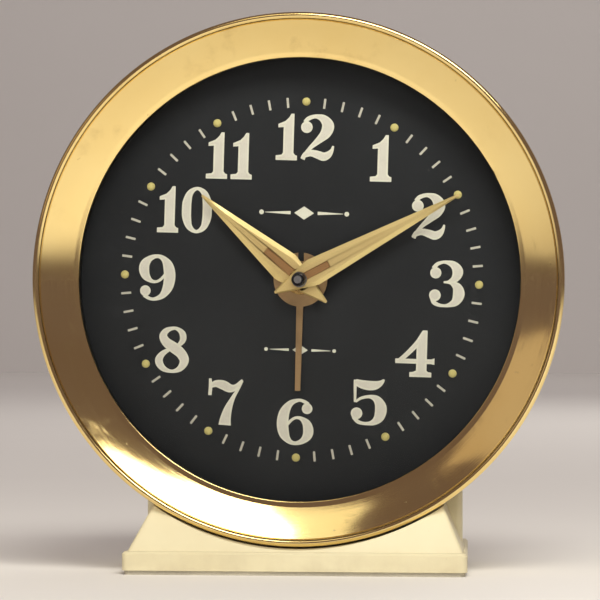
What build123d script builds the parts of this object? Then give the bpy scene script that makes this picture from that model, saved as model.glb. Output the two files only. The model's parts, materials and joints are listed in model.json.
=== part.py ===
from build123d import *
import os
from math import acos, atan2, cos, degrees, dist, pi, radians, sin, sqrt, tan

# A round key-wound table alarm clock on a flared foot.
# Millimetres. +Z is up, the dial faces -Y, and the origin is the centre of the foot's underside.
# A place is (x, z) measured from the clock's own axis, which lies along Y.

# Case
axis_height = 55.0
bezel_radius = 50.0
bezel_opening = 41.65
drum_radius = 46.0
drum_wall = 1.0
rim_front = -17.5
bezel_inner_front = rim_front + 3.9
skirt_rear = rim_front + 7.0
crystal_apex = rim_front - 0.5
crystal_seat = -12.9
crystal_thickness = 1.1
dial_front = -8.8
dial_back = -8.4
cover_front = 18.4
cover_back = 19.2
drum_rear = 20.0
knob_front = 20.2

# Back controls
key_hub_radius = 2.6
key_hub_length = 5.4
key_wing_reach = 6.4
key_wing_level = knob_front + 7.0
key_wing_half = 0.65
time_knob_radius = 5.5
time_knob_length = 4.6
alarm_knob_radius = 4.8
alarm_knob_length = 4.0
flute_radius = 0.42
shutoff_front = knob_front + 1.0
click_post_radius = 7.4

# Foot
base_depth = 46.0
pad_thickness = 0.8
lip_height = 4.3
lip_half_front = 32.3
lip_half_rear = 29.6
apron_top = 16.0
saddle_top = 20.0
saddle_front = -3.5
saddle_half_front = 30.3
saddle_half_rear = 27.2
shell_wall = 1.7
base_screw_rows = (2.5, 13.5)

# Movement: plates, and the levels of its wheels, as Y
plate_radius = 41.0
plate_thickness = 1.2
front_plate_front = -3.4
front_plate_back = front_plate_front + plate_thickness
back_plate_front = 14.8
back_plate_back = back_plate_front + plate_thickness
middle = (front_plate_back + back_plate_front) / 2
pillar_circle = 38.0
pivot_radius = 0.40
pivot_hole = 0.44
arbor_radius = 0.75
arbor_hole = 0.80
pivot_shoulder = 0.25

balance_level = middle - 6.3
centre_level = middle - 6.0
third_level = middle - 3.5
fourth_level = middle
lever_level = middle + 1.8
escape_level = middle + 3.0
great_level = middle + 5.0
hairspring_level = middle + 6.3
ratchet_level = middle + 6.9
spring_front = middle - 4.5
spring_back = middle + 3.5

# Motion work, from the front plate to the dial, as Y
minute_wheel_level = -4.3
cannon_level = -4.45
hour_wheel_level = -5.9
alarm_wheel_level = -7.1

# Hands, as Y
alarm_hand_front = -10.1
hour_hand_front = -11.2
minute_hand_front = -12.4
hub_front = -15.2

# Teeth: (teeth, module)
great_teeth = (60, 0.5)
centre_pinion_teeth = (12, 0.5)
centre_teeth = (64, 0.4)
third_pinion_teeth = (8, 0.4)
third_teeth = (60, 0.35)
fourth_pinion_teeth = (8, 0.35)
fourth_teeth = (64, 0.3)
escape_pinion_teeth = (8, 0.3)
cannon_teeth = (12, 0.5)
minute_teeth = (36, 0.5)
minute_pinion_teeth = (10, 0.48)
hour_teeth = (40, 0.48)
alarm_teeth = (52, 0.5)
alarm_set_teeth = (12, 0.5)
alarm_great_teeth = (48, 0.55)
alarm_pinion_teeth = (8, 0.55)
pressure_angle = radians(30)
tooth_share = 0.44
addendum = 0.85
dedendum = 1.10

# Bearings of one arbor from the next, in degrees counterclockwise from +X as seen from the front
great_bearing = -35
third_bearing = 110
fourth_bearing = 160
escape_bearing = 260
lever_bearing = 215
minute_bearing = 225
alarm_set_bearing = 50
alarm_escape_bearing = -90
hammer_bearing = -20
escape_to_lever = 6.3
lever_to_balance = 9.6

# Hands: bearings as above
minute_hand_bearing = 90 - 62.2
hour_hand_bearing = 90 - 310.5
alarm_hand_bearing = 90 - 181.5


def pitch_radius(gear):
    return gear[0] * gear[1] / 2


def centre_distance(gear, pinion):
    return pitch_radius(gear) + pitch_radius(pinion)


def beyond(place, bearing, reach):
    return (place[0] + reach * cos(radians(bearing)), place[1] + reach * sin(radians(bearing)))


def meshed(phase, gear, pinion, bearing):
    """Angle of a pinion's first tooth, so that it meshes with a gear whose first tooth is at phase."""
    share = (bearing - phase) * gear[0] / 360
    return bearing + 180 - (0.5 - share) * 360 / pinion[0]


# Places of the arbors
centre_place = (0.0, 0.0)
time_place = beyond(centre_place, great_bearing, centre_distance(great_teeth, centre_pinion_teeth))
alarm_place = (-time_place[0], time_place[1])
third_place = beyond(centre_place, third_bearing, centre_distance(centre_teeth, third_pinion_teeth))
fourth_place = beyond(third_place, fourth_bearing, centre_distance(third_teeth, fourth_pinion_teeth))
escape_place = beyond(fourth_place, escape_bearing, centre_distance(fourth_teeth, escape_pinion_teeth))
lever_place = beyond(escape_place, lever_bearing, escape_to_lever)
balance_place = beyond(lever_place, lever_bearing, lever_to_balance)
minute_place = beyond(centre_place, minute_bearing, centre_distance(minute_teeth, cannon_teeth))
alarm_set_place = beyond(centre_place, alarm_set_bearing, centre_distance(alarm_teeth, alarm_set_teeth))
alarm_escape_place = beyond(alarm_place, alarm_escape_bearing,
                            centre_distance(alarm_great_teeth, alarm_pinion_teeth))
hammer_place = beyond(alarm_escape_place, hammer_bearing, escape_to_lever)
bell_place = (5.0, -31.5)
shutoff_place = (-10.5, -37.0)
pillar_places = [beyond(centre_place, bearing, pillar_circle) for bearing in (45, 135, 225, 315)]
dial_foot_places = [beyond(centre_place, bearing, 32.0) for bearing in (0, 120, 240)]

# Angles of the first tooth of each wheel
great_phase = 0.0
centre_pinion_phase = meshed(great_phase, great_teeth, centre_pinion_teeth, great_bearing + 180)
centre_phase = 0.0
third_pinion_phase = meshed(centre_phase, centre_teeth, third_pinion_teeth, third_bearing)
third_phase = 0.0
fourth_pinion_phase = meshed(third_phase, third_teeth, fourth_pinion_teeth, fourth_bearing)
fourth_phase = 0.0
escape_pinion_phase = meshed(fourth_phase, fourth_teeth, escape_pinion_teeth, escape_bearing)
cannon_phase = 0.0
minute_phase = meshed(cannon_phase, cannon_teeth, minute_teeth, minute_bearing)
minute_pinion_phase = 0.0
hour_phase = meshed(minute_pinion_phase, minute_pinion_teeth, hour_teeth, minute_bearing + 180)
alarm_phase = 0.0
alarm_set_phase = meshed(alarm_phase, alarm_teeth, alarm_set_teeth, alarm_set_bearing)
alarm_great_phase = 0.0
alarm_pinion_phase = meshed(alarm_great_phase, alarm_great_teeth, alarm_pinion_teeth, alarm_escape_bearing)


def front_plane(y, place=centre_place, bearing=0.0):
    """Plane seen from the front, its x along bearing; extruding from it comes towards the viewer."""
    across = (cos(radians(bearing)), 0, sin(radians(bearing)))
    return Plane(origin=(place[0], y, axis_height + place[1]), x_dir=across, z_dir=(0, -1, 0))


def side_plane(place=centre_place, bearing=0.0):
    """Plane through an arbor: its x is the distance from the arbor and its y is the depth."""
    across = (cos(radians(bearing)), 0, sin(radians(bearing)))
    normal = (-sin(radians(bearing)), 0, cos(radians(bearing)))
    return Plane(origin=(place[0], 0, axis_height + place[1]), x_dir=across, z_dir=normal)


def arbor_axis(place=centre_place):
    return Axis((place[0], 0, axis_height + place[1]), (0, 1, 0))


def involute(angle):
    return tan(angle) - angle


def tooth_outline(gear, phase):
    """Corners of a whole wheel: involute flanks above the base circle and radial ones below it."""
    teeth, module = gear
    pitch = pitch_radius(gear)
    base = pitch * cos(pressure_angle)
    root = pitch - dedendum * module
    tip = pitch + addendum * module
    radii = [root] + ([base] if base > root else []) + [pitch, tip]
    corners = []
    for tooth in range(teeth):
        middle_angle = radians(phase) + 2 * pi * tooth / teeth
        flank = []
        for radius in radii:
            lean = involute(pressure_angle) - involute(acos(min(1.0, base / radius)))
            flank.append((radius, tooth_share * pi / teeth + lean))
        corners += [(r * cos(middle_angle - a), r * sin(middle_angle - a)) for r, a in flank]
        corners += [(r * cos(middle_angle + a), r * sin(middle_angle + a)) for r, a in reversed(flank)]
    return corners


def ratchet_outline(teeth, tip, root, phase=0.0):
    """Corners of a wheel of pointed teeth: each rises along a slope and drops radially."""
    corners = []
    for tooth in range(teeth):
        angle = radians(phase) + 2 * pi * tooth / teeth
        corners.append((tip * cos(angle), tip * sin(angle)))
        corners.append((root * cos(angle + 0.02), root * sin(angle + 0.02)))
    return corners


def disc_of(outline, place, level, thickness, bore, windows=(0, 0, 0)):
    """A flat wheel about its arbor, centred on level; windows are (count, inner, outer)."""
    count, inner, outer = windows
    with BuildSketch(front_plane(level + thickness / 2, place)) as face:
        with BuildLine():
            Polyline(*outline, close=True)
        make_face()
        Circle(bore, mode=Mode.SUBTRACT)
        if count:
            spoke = 0.55 * outer / count
            with PolarLocations(0, count):
                with BuildLine():
                    half = pi / count
                    inner_half = half - spoke / inner
                    outer_half = half - spoke / outer
                    corners = [(inner, -inner_half), (outer, -outer_half),
                               (outer, outer_half), (inner, inner_half)]
                    points = [(r * cos(a), r * sin(a)) for r, a in corners]
                    Line(points[0], points[1])
                    ThreePointArc(points[1], (outer, 0), points[2])
                    Line(points[2], points[3])
                    ThreePointArc(points[3], (inner, 0), points[0])
                make_face(mode=Mode.SUBTRACT)
    extrude(face.sketch, amount=thickness)


def turned(place, steps, bore=0.0):
    """A shaft or sleeve turned in steps of (radius, start, end) along Y."""
    outline = [(bore, steps[0][1])]
    for radius, start, end in steps:
        outline += [(radius, start), (radius, end)]
    outline.append((bore, steps[-1][2]))
    with BuildSketch(side_plane(place)) as half:
        with BuildLine():
            Polyline(*outline, close=True)
        make_face()
    revolve(half.sketch, axis=arbor_axis(place))


def spiral_strip(place, bearing, inner, turns, pitch, thickness, front, back):
    """A coiled strip: half circles about two centres half a pitch apart, so that it grows evenly."""
    half_turns = 2 * turns
    step = pitch / 2
    with BuildSketch(front_plane(back, place, bearing)) as strip:
        with BuildLine():
            for offset_out in (thickness / 2, -thickness / 2):
                for half in range(half_turns):
                    radius = inner + step * half + offset_out
                    centre_x = 0 if half % 2 == 0 else step
                    start = 0 if half % 2 == 0 else 180
                    CenterArc((centre_x, 0), radius, start, 180)
            Line((inner - thickness / 2, 0), (inner + thickness / 2, 0))
            end_x = inner + step * half_turns
            Line((end_x - thickness / 2, 0), (end_x + thickness / 2, 0))
        make_face()
    extrude(strip.sketch, amount=back - front)


def trapezoid(front_y, rear_y, half_front, half_rear, inset=0.0):
    front_y, rear_y = front_y + inset, rear_y - inset
    half_front, half_rear = half_front - inset, half_rear - inset
    return [(-half_front, front_y), (half_front, front_y), (half_rear, rear_y), (-half_rear, rear_y)]


def lathe_ring(outline, place=centre_place):
    """Revolve a closed outline of (radius, y) corners about an arbor."""
    with BuildSketch(side_plane(place)) as half:
        with BuildLine():
            Polyline(*outline, close=True)
        make_face()
    revolve(half.sketch, axis=arbor_axis(place))


def bore(y_back, depth, place, radius):
    """Cut a round hole from y_back towards the front."""
    with BuildSketch(front_plane(y_back, place)) as hole:
        Circle(radius)
    extrude(hole.sketch, amount=depth, mode=Mode.SUBTRACT)


def dome_y(radius_at, apex, edge_radius, edge_y):
    """Depth of a spherical dome at a radius, from its apex and its edge."""
    rise = edge_y - apex
    sphere = (edge_radius ** 2 + rise ** 2) / (2 * rise)
    return apex + sphere - sqrt(sphere ** 2 - radius_at ** 2)


# ---- Foot ----
foot_half_y = base_depth / 2

with BuildPart() as base_pad:
    with BuildSketch(Plane.XY):
        with BuildLine():
            Polyline(*trapezoid(-foot_half_y, foot_half_y, lip_half_front, lip_half_rear, 0.4), close=True)
        make_face()
        fillet(vertices(), 1.2)
    extrude(amount=pad_thickness)

with BuildPart() as base_foot:
    with BuildSketch(Plane.XY.offset(pad_thickness)):
        with BuildLine():
            Polyline(*trapezoid(-foot_half_y, foot_half_y, lip_half_front, lip_half_rear), close=True)
        make_face()
        fillet(vertices(), 1.2)
    extrude(amount=lip_height - pad_thickness)
    chamfer(faces().sort_by(Axis.Z)[-1].edges(), 0.4)
    # sloping apron in front of the saddle
    apron_depth = saddle_front + 8
    with BuildSketch(Plane.XY.offset(lip_height - 0.4)):
        with BuildLine():
            Polyline(*trapezoid(-foot_half_y + 1.6, apron_depth, 31.6, 30.2), close=True)
        make_face()
    with BuildSketch(Plane.XY.offset(apron_top)):
        with BuildLine():
            Polyline(*trapezoid(-13.0, apron_depth, 25.7, 25.7), close=True)
        make_face()
    loft()
    rising = edges().filter_by(lambda edge: abs(edge.tangent_at(0.5).Z) > 0.3)
    leaning = rising.filter_by(lambda edge: edge.center().Y < -8 and edge.center().Z > 6)
    fillet(leaning, 0.8)
    # saddle block under the drum
    with BuildSketch(Plane.XY.offset(lip_height - 0.4)):
        with BuildLine():
            Polyline(*trapezoid(saddle_front, 21.0, saddle_half_front, saddle_half_rear), close=True)
        make_face()
        fillet(vertices(), 1.0)
    extrude(amount=saddle_top - lip_height + 0.4)
    # room for the bezel, and the cradle for the drum
    bore(skirt_rear + 0.6, 30.0, centre_place, bezel_radius + 0.4)
    bore(40.0, 60.0, centre_place, drum_radius + 0.05)
    # hollow underside
    with BuildPart(mode=Mode.PRIVATE) as hollow:
        with BuildSketch(Plane.XY):
            with BuildLine():
                Polyline(*trapezoid(saddle_front, 21.0, saddle_half_front, saddle_half_rear, shell_wall),
                         close=True)
            make_face()
        extrude(amount=18.2)
        with BuildSketch(Plane.XY):
            with BuildLine():
                Polyline(*trapezoid(-15.5, saddle_front + 3.0, 25.0, 25.0), close=True)
            make_face()
        extrude(amount=9.0)
        bore(skirt_rear + 2.7, 30.0, centre_place, bezel_radius + 2.1)
        bore(40.0, 60.0, centre_place, drum_radius + shell_wall)
    add(hollow.part, mode=Mode.SUBTRACT)
    with Locations(*[(0, y, 0) for y in base_screw_rows]):
        Cylinder(1.3, 30.0, mode=Mode.SUBTRACT)

weight_top = 5.2
with BuildPart() as base_weight:
    with BuildSketch(Plane.XY.offset(pad_thickness + 0.05)):
        with Locations((0, 8.3)):
            RectangleRounded(42.0, 19.0, 2.0)
        with Locations(*[(0, y) for y in base_screw_rows]):
            Circle(2.9, mode=Mode.SUBTRACT)
    extrude(amount=weight_top - pad_thickness - 0.05)
    chamfer(faces().sort_by(Axis.Z)[-1].edges().filter_by(GeomType.LINE), 0.6)

cradle_under = axis_height - drum_radius - shell_wall
with BuildPart() as base_screws:
    for row in base_screw_rows:
        with BuildSketch(Plane.XY.offset(cradle_under - 1.8)) as head:
            with Locations((0, row)):
                Circle(2.4)
        extrude(head.sketch, amount=1.75)
        with BuildSketch(Plane.XY.offset(cradle_under - 1.0)) as shank:
            with Locations((0, row)):
                Circle(1.2)
        extrude(shank.sketch, amount=5.0)

nut_bottom = axis_height - sqrt((drum_radius - drum_wall) ** 2 - 2.3 ** 2) + 0.02
with BuildPart() as base_nuts:
    for row in base_screw_rows:
        with BuildSketch(Plane.XY.offset(nut_bottom)) as nut:
            with Locations((0, row)):
                RegularPolygon(2.25, 6)
                Circle(1.21, mode=Mode.SUBTRACT)
        extrude(nut.sketch, amount=1.6)

# ---- Case ----
with BuildPart() as case_drum:
    inside = drum_radius - drum_wall
    lathe_ring([
        (drum_radius, drum_rear), (drum_radius, -12.2), (48.8, -12.2), (48.8, -13.0), (inside, -13.0),
        (inside, dial_back), (43.4, dial_back), (43.4, dial_back + 1.0), (inside, dial_back + 1.0),
        (inside, cover_front - 1.0), (43.4, cover_front - 1.0), (43.4, cover_front), (inside, cover_front),
        (inside, drum_rear),
    ])
    with Locations(*[(0, y, axis_height - drum_radius) for y in base_screw_rows]):
        Cylinder(1.3, 6.0, mode=Mode.SUBTRACT)

bead_inner = bezel_radius - 1.9
bead_foot_y = rim_front + 0.6
sheet = 0.7
with BuildPart() as bezel:
    with BuildSketch(side_plane()) as section:
        with BuildLine():
            Line((bezel_opening, bezel_inner_front), (bead_inner, bead_foot_y))
            ThreePointArc((bead_inner, bead_foot_y), (bezel_radius - 0.9, rim_front),
                          (bezel_radius, rim_front + 1.0))
            Polyline(
                (bezel_radius, rim_front + 1.0), (bezel_radius - 0.25, skirt_rear),
                (bezel_radius - 1.0, skirt_rear), (bezel_radius - 1.0, rim_front + 1.6),
                (bead_inner - 0.1, bead_foot_y + 0.9), (bezel_opening + 0.5, bezel_inner_front + sheet),
                (bezel_opening, bezel_inner_front + sheet), (bezel_opening, bezel_inner_front),
            )
        make_face()
    revolve(section.sketch, axis=arbor_axis())

crystal_back = crystal_seat + crystal_thickness
dome_edge = bezel_opening - 0.35
inner_edge = dome_edge - 1.1
inner_apex = crystal_apex + crystal_thickness
with BuildPart() as crystal:
    with BuildSketch(side_plane()) as section:
        with BuildLine():
            ThreePointArc((0, crystal_apex),
                          (dome_edge / 2, dome_y(dome_edge / 2, crystal_apex, dome_edge, crystal_seat)),
                          (dome_edge, crystal_seat))
            Polyline((dome_edge, crystal_seat), (44.7, crystal_seat), (44.7, crystal_back),
                     (inner_edge, crystal_back))
            ThreePointArc((inner_edge, crystal_back),
                          (inner_edge / 2, dome_y(inner_edge / 2, inner_apex, inner_edge, crystal_back)),
                          (0, inner_apex))
            Line((0, inner_apex), (0, crystal_apex))
        make_face()
    revolve(section.sketch, axis=arbor_axis())

with BuildPart() as dial_ring:
    lathe_ring([(42.4, crystal_back), (44.7, crystal_back), (44.7, dial_front), (42.0, dial_front)])

with BuildPart() as dial:
    turned(centre_place, [(44.7, dial_front, dial_back)], bore=3.3)
    for foot in dial_foot_places:
        turned(foot, [(0.6, dial_back - 0.1, front_plate_front + 0.9)])

with BuildPart() as back_cover:
    lathe_ring([(0, cover_front), (44.8, cover_front), (44.8, cover_back + 0.6), (43.9, cover_back + 0.6),
                (43.9, cover_back), (0, cover_back)])
    for place, radius in [(centre_place, 1.6), (time_place, 2.3), (alarm_place, 2.3),
                          (alarm_set_place, 1.6), (shutoff_place, 1.4)] + [(p, 1.0) for p in pillar_places]:
        bore(cover_back + 1, 4.0, place, radius)
    with BuildSketch(front_plane(cover_back + 1, balance_place, 180)) as slot:
        with BuildLine(mode=Mode.PRIVATE) as sweep_path:
            CenterArc((0, 0), 7.2, -27, 54)
        SlotArc(sweep_path.edge(), 2.0)
    extrude(slot.sketch, amount=4.0, mode=Mode.SUBTRACT)
    # sound holes behind the bell
    with BuildSketch(front_plane(cover_back + 1, bell_place)) as sound:
        with PolarLocations(4.2, 6):
            Circle(0.9)
        Circle(0.9)
    extrude(sound.sketch, amount=4.0, mode=Mode.SUBTRACT)

with BuildPart() as cover_screws:
    for place in pillar_places:
        turned(place, [(0.9, cover_front - 0.9, cover_back), (2.0, cover_back, cover_back + 0.7),
                       (1.5, cover_back + 0.7, cover_back + 1.1)])

# ---- Movement frame ----
with BuildPart() as front_plate:
    turned(centre_place, [(plate_radius, front_plate_front, front_plate_back)])
    for place in (third_place, fourth_place, escape_place, lever_place, balance_place,
                  alarm_escape_place, hammer_place):
        bore(front_plate_back + 1, 4.0, place, pivot_hole)
    for place, radius in [(centre_place, arbor_hole), (alarm_set_place, arbor_hole), (time_place, 1.05),
                          (alarm_place, 1.05)] + [(p, 1.22) for p in pillar_places]:
        bore(front_plate_back + 1, 4.0, place, radius)
    for place in dial_foot_places:
        bore(front_plate_back + 1, 4.0, place, 0.65)
    # stub that carries the minute wheel
    turned(minute_place, [(0.8, front_plate_front - 3.4, front_plate_front + 0.2)])

with BuildPart() as back_plate:
    turned(centre_place, [(plate_radius, back_plate_front, back_plate_back)])
    turned(balance_place, [(1.5, back_plate_back - 0.1, back_plate_back + 0.9)])
    for place in (third_place, fourth_place, escape_place, lever_place, balance_place,
                  alarm_escape_place, hammer_place):
        bore(back_plate_back + 2, 6.0, place, pivot_hole)
    for place, radius in [(centre_place, arbor_hole), (alarm_set_place, arbor_hole), (time_place, 1.55),
                          (alarm_place, 1.55), (shutoff_place, 1.3)] + [(p, 1.22) for p in pillar_places]:
        bore(back_plate_back + 1, 4.0, place, radius)
    with BuildSketch(front_plane(back_plate_back + 1, balance_place)) as slot:
        with BuildLine(mode=Mode.PRIVATE) as sweep_path:
            CenterArc((0, 0), 4.8, -30, 60)
        SlotArc(sweep_path.edge(), 1.3)
    extrude(slot.sketch, amount=4.0, mode=Mode.SUBTRACT)

with BuildPart() as pillars:
    for place in pillar_places:
        turned(place, [(1.2, front_plate_front, front_plate_back), (2.0, front_plate_back, back_plate_front),
                       (1.2, back_plate_front, back_plate_back + 1.0)])

with BuildPart() as pillar_standoffs:
    for place in pillar_places:
        with BuildSketch(front_plane(cover_front, place)) as post:
            RegularPolygon(2.5, 6)
            Circle(0.95, mode=Mode.SUBTRACT)
        extrude(post.sketch, amount=cover_front - back_plate_back)
        bore(back_plate_back + 1.1, 1.1, place, 1.22)

with BuildPart() as bell:
    bell_front, bell_rear, bell_radius, bell_wall = middle - 3.0, middle + 3.5, 9.0, 0.7
    lathe_ring([
        (0, front_plate_back), (1.2, front_plate_back), (1.2, bell_front), (6.5, bell_front),
        (8.2, bell_front + 0.8), (bell_radius, bell_front + 2.6), (bell_radius, bell_rear),
        (bell_radius - bell_wall, bell_rear), (bell_radius - bell_wall, bell_front + 2.9),
        (7.8, bell_front + 1.6), (6.2, bell_front + 0.9), (1.6, bell_front + 0.9),
        (1.6, bell_front + 1.7), (0, bell_front + 1.7),
    ], bell_place)

# ---- Springs ----
with BuildPart() as time_mainspring:
    spiral_strip(time_place, 90, 3.6, 7, 1.25, 0.4, spring_front, spring_back)

with BuildPart() as alarm_mainspring:
    spiral_strip(alarm_place, 90, 3.6, 6, 1.15, 0.4, spring_front, spring_back)

with BuildPart() as hairspring:
    spiral_strip(balance_place, 0, 1.3, 5, 0.58, 0.15, hairspring_level - 0.3, hairspring_level + 0.3)


# ---- Going train ----
def winding_parts(place, gear, phase, key_bearing, click_bearing):
    """Great wheel, winding arbor, ratchet wheel, click and key of one mainspring."""
    click_post = beyond((0, 0), click_bearing, click_post_radius)
    click_nose = beyond((0, 0), click_bearing - 38, 5.05)
    with BuildPart() as great_wheel:
        disc_of(tooth_outline(gear, phase), place, great_level, 1.2, 2.05)
        turned(beyond(place, click_bearing, click_post_radius), [(0.6, great_level + 0.5, ratchet_level + 0.5)])
    with BuildPart() as winding_arbor:
        turned(place, [
            (1.0, front_plate_front, front_plate_back + pivot_shoulder),
            (2.6, front_plate_back + pivot_shoulder, great_level - 0.75),
            (2.0, great_level - 0.75, back_plate_front - pivot_shoulder),
            (1.5, back_plate_front - pivot_shoulder, knob_front + 4.0),
        ])
    with BuildPart() as ratchet_wheel:
        disc_of(ratchet_outline(18, 4.6, 3.7), place, ratchet_level, 0.8, 2.01)
    with BuildPart() as click:
        with BuildSketch(front_plane(ratchet_level + 0.4, place)) as pawl:
            with Locations(click_post):
                Circle(1.15)
            with Locations(click_nose):
                Circle(0.25)
            make_hull()
            with Locations(click_post):
                Circle(0.65, mode=Mode.SUBTRACT)
        extrude(pawl.sketch, amount=0.8)
    with BuildPart() as key:
        turned(place, [(key_hub_radius, knob_front, knob_front + key_hub_length)])
        with BuildSketch(side_plane(place, key_bearing)) as wings:
            with Locations((-key_wing_reach, key_wing_level), (key_wing_reach, key_wing_level)):
                Ellipse(4.4, 3.6)
            with Locations((0, knob_front + 4.6)):
                Rectangle(9.0, 2.8)
        extrude(wings.sketch, amount=key_wing_half, both=True)
        bore(knob_front + 4.0, 6.0, place, 1.51)
    return great_wheel, winding_arbor, ratchet_wheel, click, key


(time_great_wheel, time_winding_arbor, time_ratchet_wheel,
 time_click, time_winding_key) = winding_parts(time_place, great_teeth, great_phase, 28, 80)
(alarm_great_wheel, alarm_winding_arbor, alarm_ratchet_wheel,
 alarm_click, alarm_winding_key) = winding_parts(alarm_place, alarm_great_teeth, alarm_great_phase, 160, 95)


def wheel_arbor(place, pinion, phase, pinion_level, pinion_length):
    """Add an arbor between the plates, with its pinion leaves."""
    turned(place, [
        (pivot_radius, front_plate_front, front_plate_back + pivot_shoulder),
        (0.7, front_plate_back + pivot_shoulder, back_plate_front - pivot_shoulder),
        (pivot_radius, back_plate_front - pivot_shoulder, back_plate_back),
    ])
    disc_of(tooth_outline(pinion, phase), place, pinion_level, pinion_length, 0.3)


with BuildPart() as centre_pinion:
    disc_of(tooth_outline(centre_pinion_teeth, centre_pinion_phase), centre_place, great_level, 2.2,
            arbor_hole)
    turned(centre_place, [(1.6, centre_level - 0.5, great_level + 1.1)], bore=arbor_hole)

with BuildPart() as centre_wheel:
    disc_of(tooth_outline(centre_teeth, centre_phase), centre_place, centre_level, 0.8, 1.61,
            (5, 4.2, 10.8))

with BuildPart() as third_arbor:
    wheel_arbor(third_place, third_pinion_teeth, third_pinion_phase, centre_level, 2.4)

with BuildPart() as third_wheel:
    disc_of(tooth_outline(third_teeth, third_phase), third_place, third_level, 0.7, 0.71, (5, 3.2, 8.6))

with BuildPart() as fourth_arbor:
    wheel_arbor(fourth_place, fourth_pinion_teeth, fourth_pinion_phase, third_level, 2.0)

with BuildPart() as fourth_wheel:
    disc_of(tooth_outline(fourth_teeth, fourth_phase), fourth_place, fourth_level, 0.6, 0.71, (5, 3.0, 8.0))

with BuildPart() as escape_arbor:
    wheel_arbor(escape_place, escape_pinion_teeth, escape_pinion_phase, fourth_level, 1.8)

with BuildPart() as escape_wheel:
    disc_of(ratchet_outline(15, 5.0, 4.0), escape_place, escape_level, 0.6, 0.71, (5, 1.6, 3.4))

with BuildPart() as pallet_lever:
    pin_radius, pin_reach = 0.25, 5.75
    pin_x = -escape_to_lever + pin_reach * cos(pi / 4)
    pin_z = pin_reach * sin(pi / 4)
    fork_reach = lever_to_balance - 2.1
    turned(lever_place, [
        (pivot_radius, front_plate_front, front_plate_back + pivot_shoulder),
        (0.6, front_plate_back + pivot_shoulder, back_plate_front - pivot_shoulder),
        (pivot_radius, back_plate_front - pivot_shoulder, back_plate_back),
    ])
    with BuildSketch(front_plane(lever_level + 0.3, lever_place, lever_bearing)) as lever:
        for side in (-1, 1):
            with BuildSketch(mode=Mode.PRIVATE) as arm:
                Circle(1.1)
                with Locations((pin_x, side * pin_z)):
                    Circle(0.5)
                make_hull()
            add(arm.sketch)
        with Locations((fork_reach / 2, 0)):
            Rectangle(fork_reach, 1.0)
        with Locations((fork_reach - 0.9, 0)):
            Rectangle(1.8, 2.0)
        with Locations((fork_reach - 0.5, 0)):
            Rectangle(1.2, 0.7, mode=Mode.SUBTRACT)
    extrude(lever.sketch, amount=0.6)
    with BuildSketch(front_plane(escape_level + 0.5, lever_place, lever_bearing)) as pins:
        with Locations((pin_x, pin_z), (pin_x, -pin_z)):
            Circle(pin_radius)
    extrude(pins.sketch, amount=escape_level + 0.5 - lever_level)

with BuildPart() as balance_staff:
    roller_level = lever_level + 0.9
    turned(balance_place, [
        (pivot_radius, front_plate_front, front_plate_back + pivot_shoulder),
        (0.6, front_plate_back + pivot_shoulder, roller_level - 0.25),
        (1.8, roller_level - 0.25, roller_level + 0.25),
        (0.6, roller_level + 0.25, hairspring_level - 0.4),
        (0.85, hairspring_level - 0.4, hairspring_level + 0.4),
        (0.6, hairspring_level + 0.4, back_plate_front - pivot_shoulder),
        (pivot_radius, back_plate_front - pivot_shoulder, back_plate_back + 0.9),
    ])
    with BuildSketch(front_plane(roller_level, balance_place, lever_bearing + 180)) as impulse:
        with Locations((1.45, 0)):
            Circle(0.2)
    extrude(impulse.sketch, amount=1.3)

with BuildPart() as balance_wheel:
    with BuildSketch(front_plane(balance_level + 0.5, balance_place)) as face:
        Circle(8.5)
        Circle(7.4, mode=Mode.SUBTRACT)
        with PolarLocations(0, 3):
            with Locations((4.1, 0)):
                Rectangle(7.0, 1.0)
        Circle(1.6)
        Circle(0.61, mode=Mode.SUBTRACT)
    extrude(face.sketch, amount=1.0)

with BuildPart() as regulator_lever:
    with BuildSketch(front_plane(back_plate_back + 0.7, balance_place)) as arm:
        with Locations((-3.6, 0)):
            Rectangle(8.4, 1.2)
        with Locations((2.7, 0)):
            Rectangle(5.2, 1.2)
        Circle(2.7)
        Circle(1.57, mode=Mode.SUBTRACT)
    extrude(arm.sketch, amount=0.6)
    with BuildSketch(front_plane(knob_front + 0.8, balance_place)) as tab:
        with Locations((-7.2, 0)):
            RectangleRounded(1.2, 1.2, 0.3)
    extrude(tab.sketch, amount=knob_front + 0.8 - back_plate_back - 0.2)
    with BuildSketch(front_plane(back_plate_back + 0.4, balance_place)) as curb:
        with Locations((4.8, 0)):
            Circle(0.3)
    extrude(curb.sketch, amount=back_plate_back + 0.4 - hairspring_level + 0.3)

# ---- Motion work and hands ----
with BuildPart() as centre_arbor:
    turned(centre_place, [(arbor_radius, hub_front, knob_front + 3.6)])

with BuildPart() as cannon_pinion:
    disc_of(tooth_outline(cannon_teeth, cannon_phase), centre_place, cannon_level, 1.5, arbor_radius + 0.01)
    turned(centre_place, [(1.45, minute_hand_front, cannon_level)], bore=arbor_radius + 0.01)

with BuildPart() as minute_wheel:
    disc_of(tooth_outline(minute_teeth, minute_phase), minute_place, minute_wheel_level, 0.6, 0.85)
    pinion_level = (minute_wheel_level + hour_wheel_level - 0.5) / 2
    pinion_length = minute_wheel_level - hour_wheel_level + 0.5
    disc_of(tooth_outline(minute_pinion_teeth, minute_pinion_phase), minute_place,
            pinion_level, pinion_length, 0.85)

with BuildPart() as hour_wheel:
    disc_of(tooth_outline(hour_teeth, hour_phase), centre_place, hour_wheel_level, 0.6, 1.53)
    turned(centre_place, [(2.15, hour_hand_front, hour_wheel_level)], bore=1.53)

with BuildPart() as alarm_wheel:
    disc_of(tooth_outline(alarm_teeth, alarm_phase), centre_place, alarm_wheel_level, 0.6, 2.23)
    turned(centre_place, [(2.85, alarm_hand_front, alarm_wheel_level)], bore=2.23)

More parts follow.
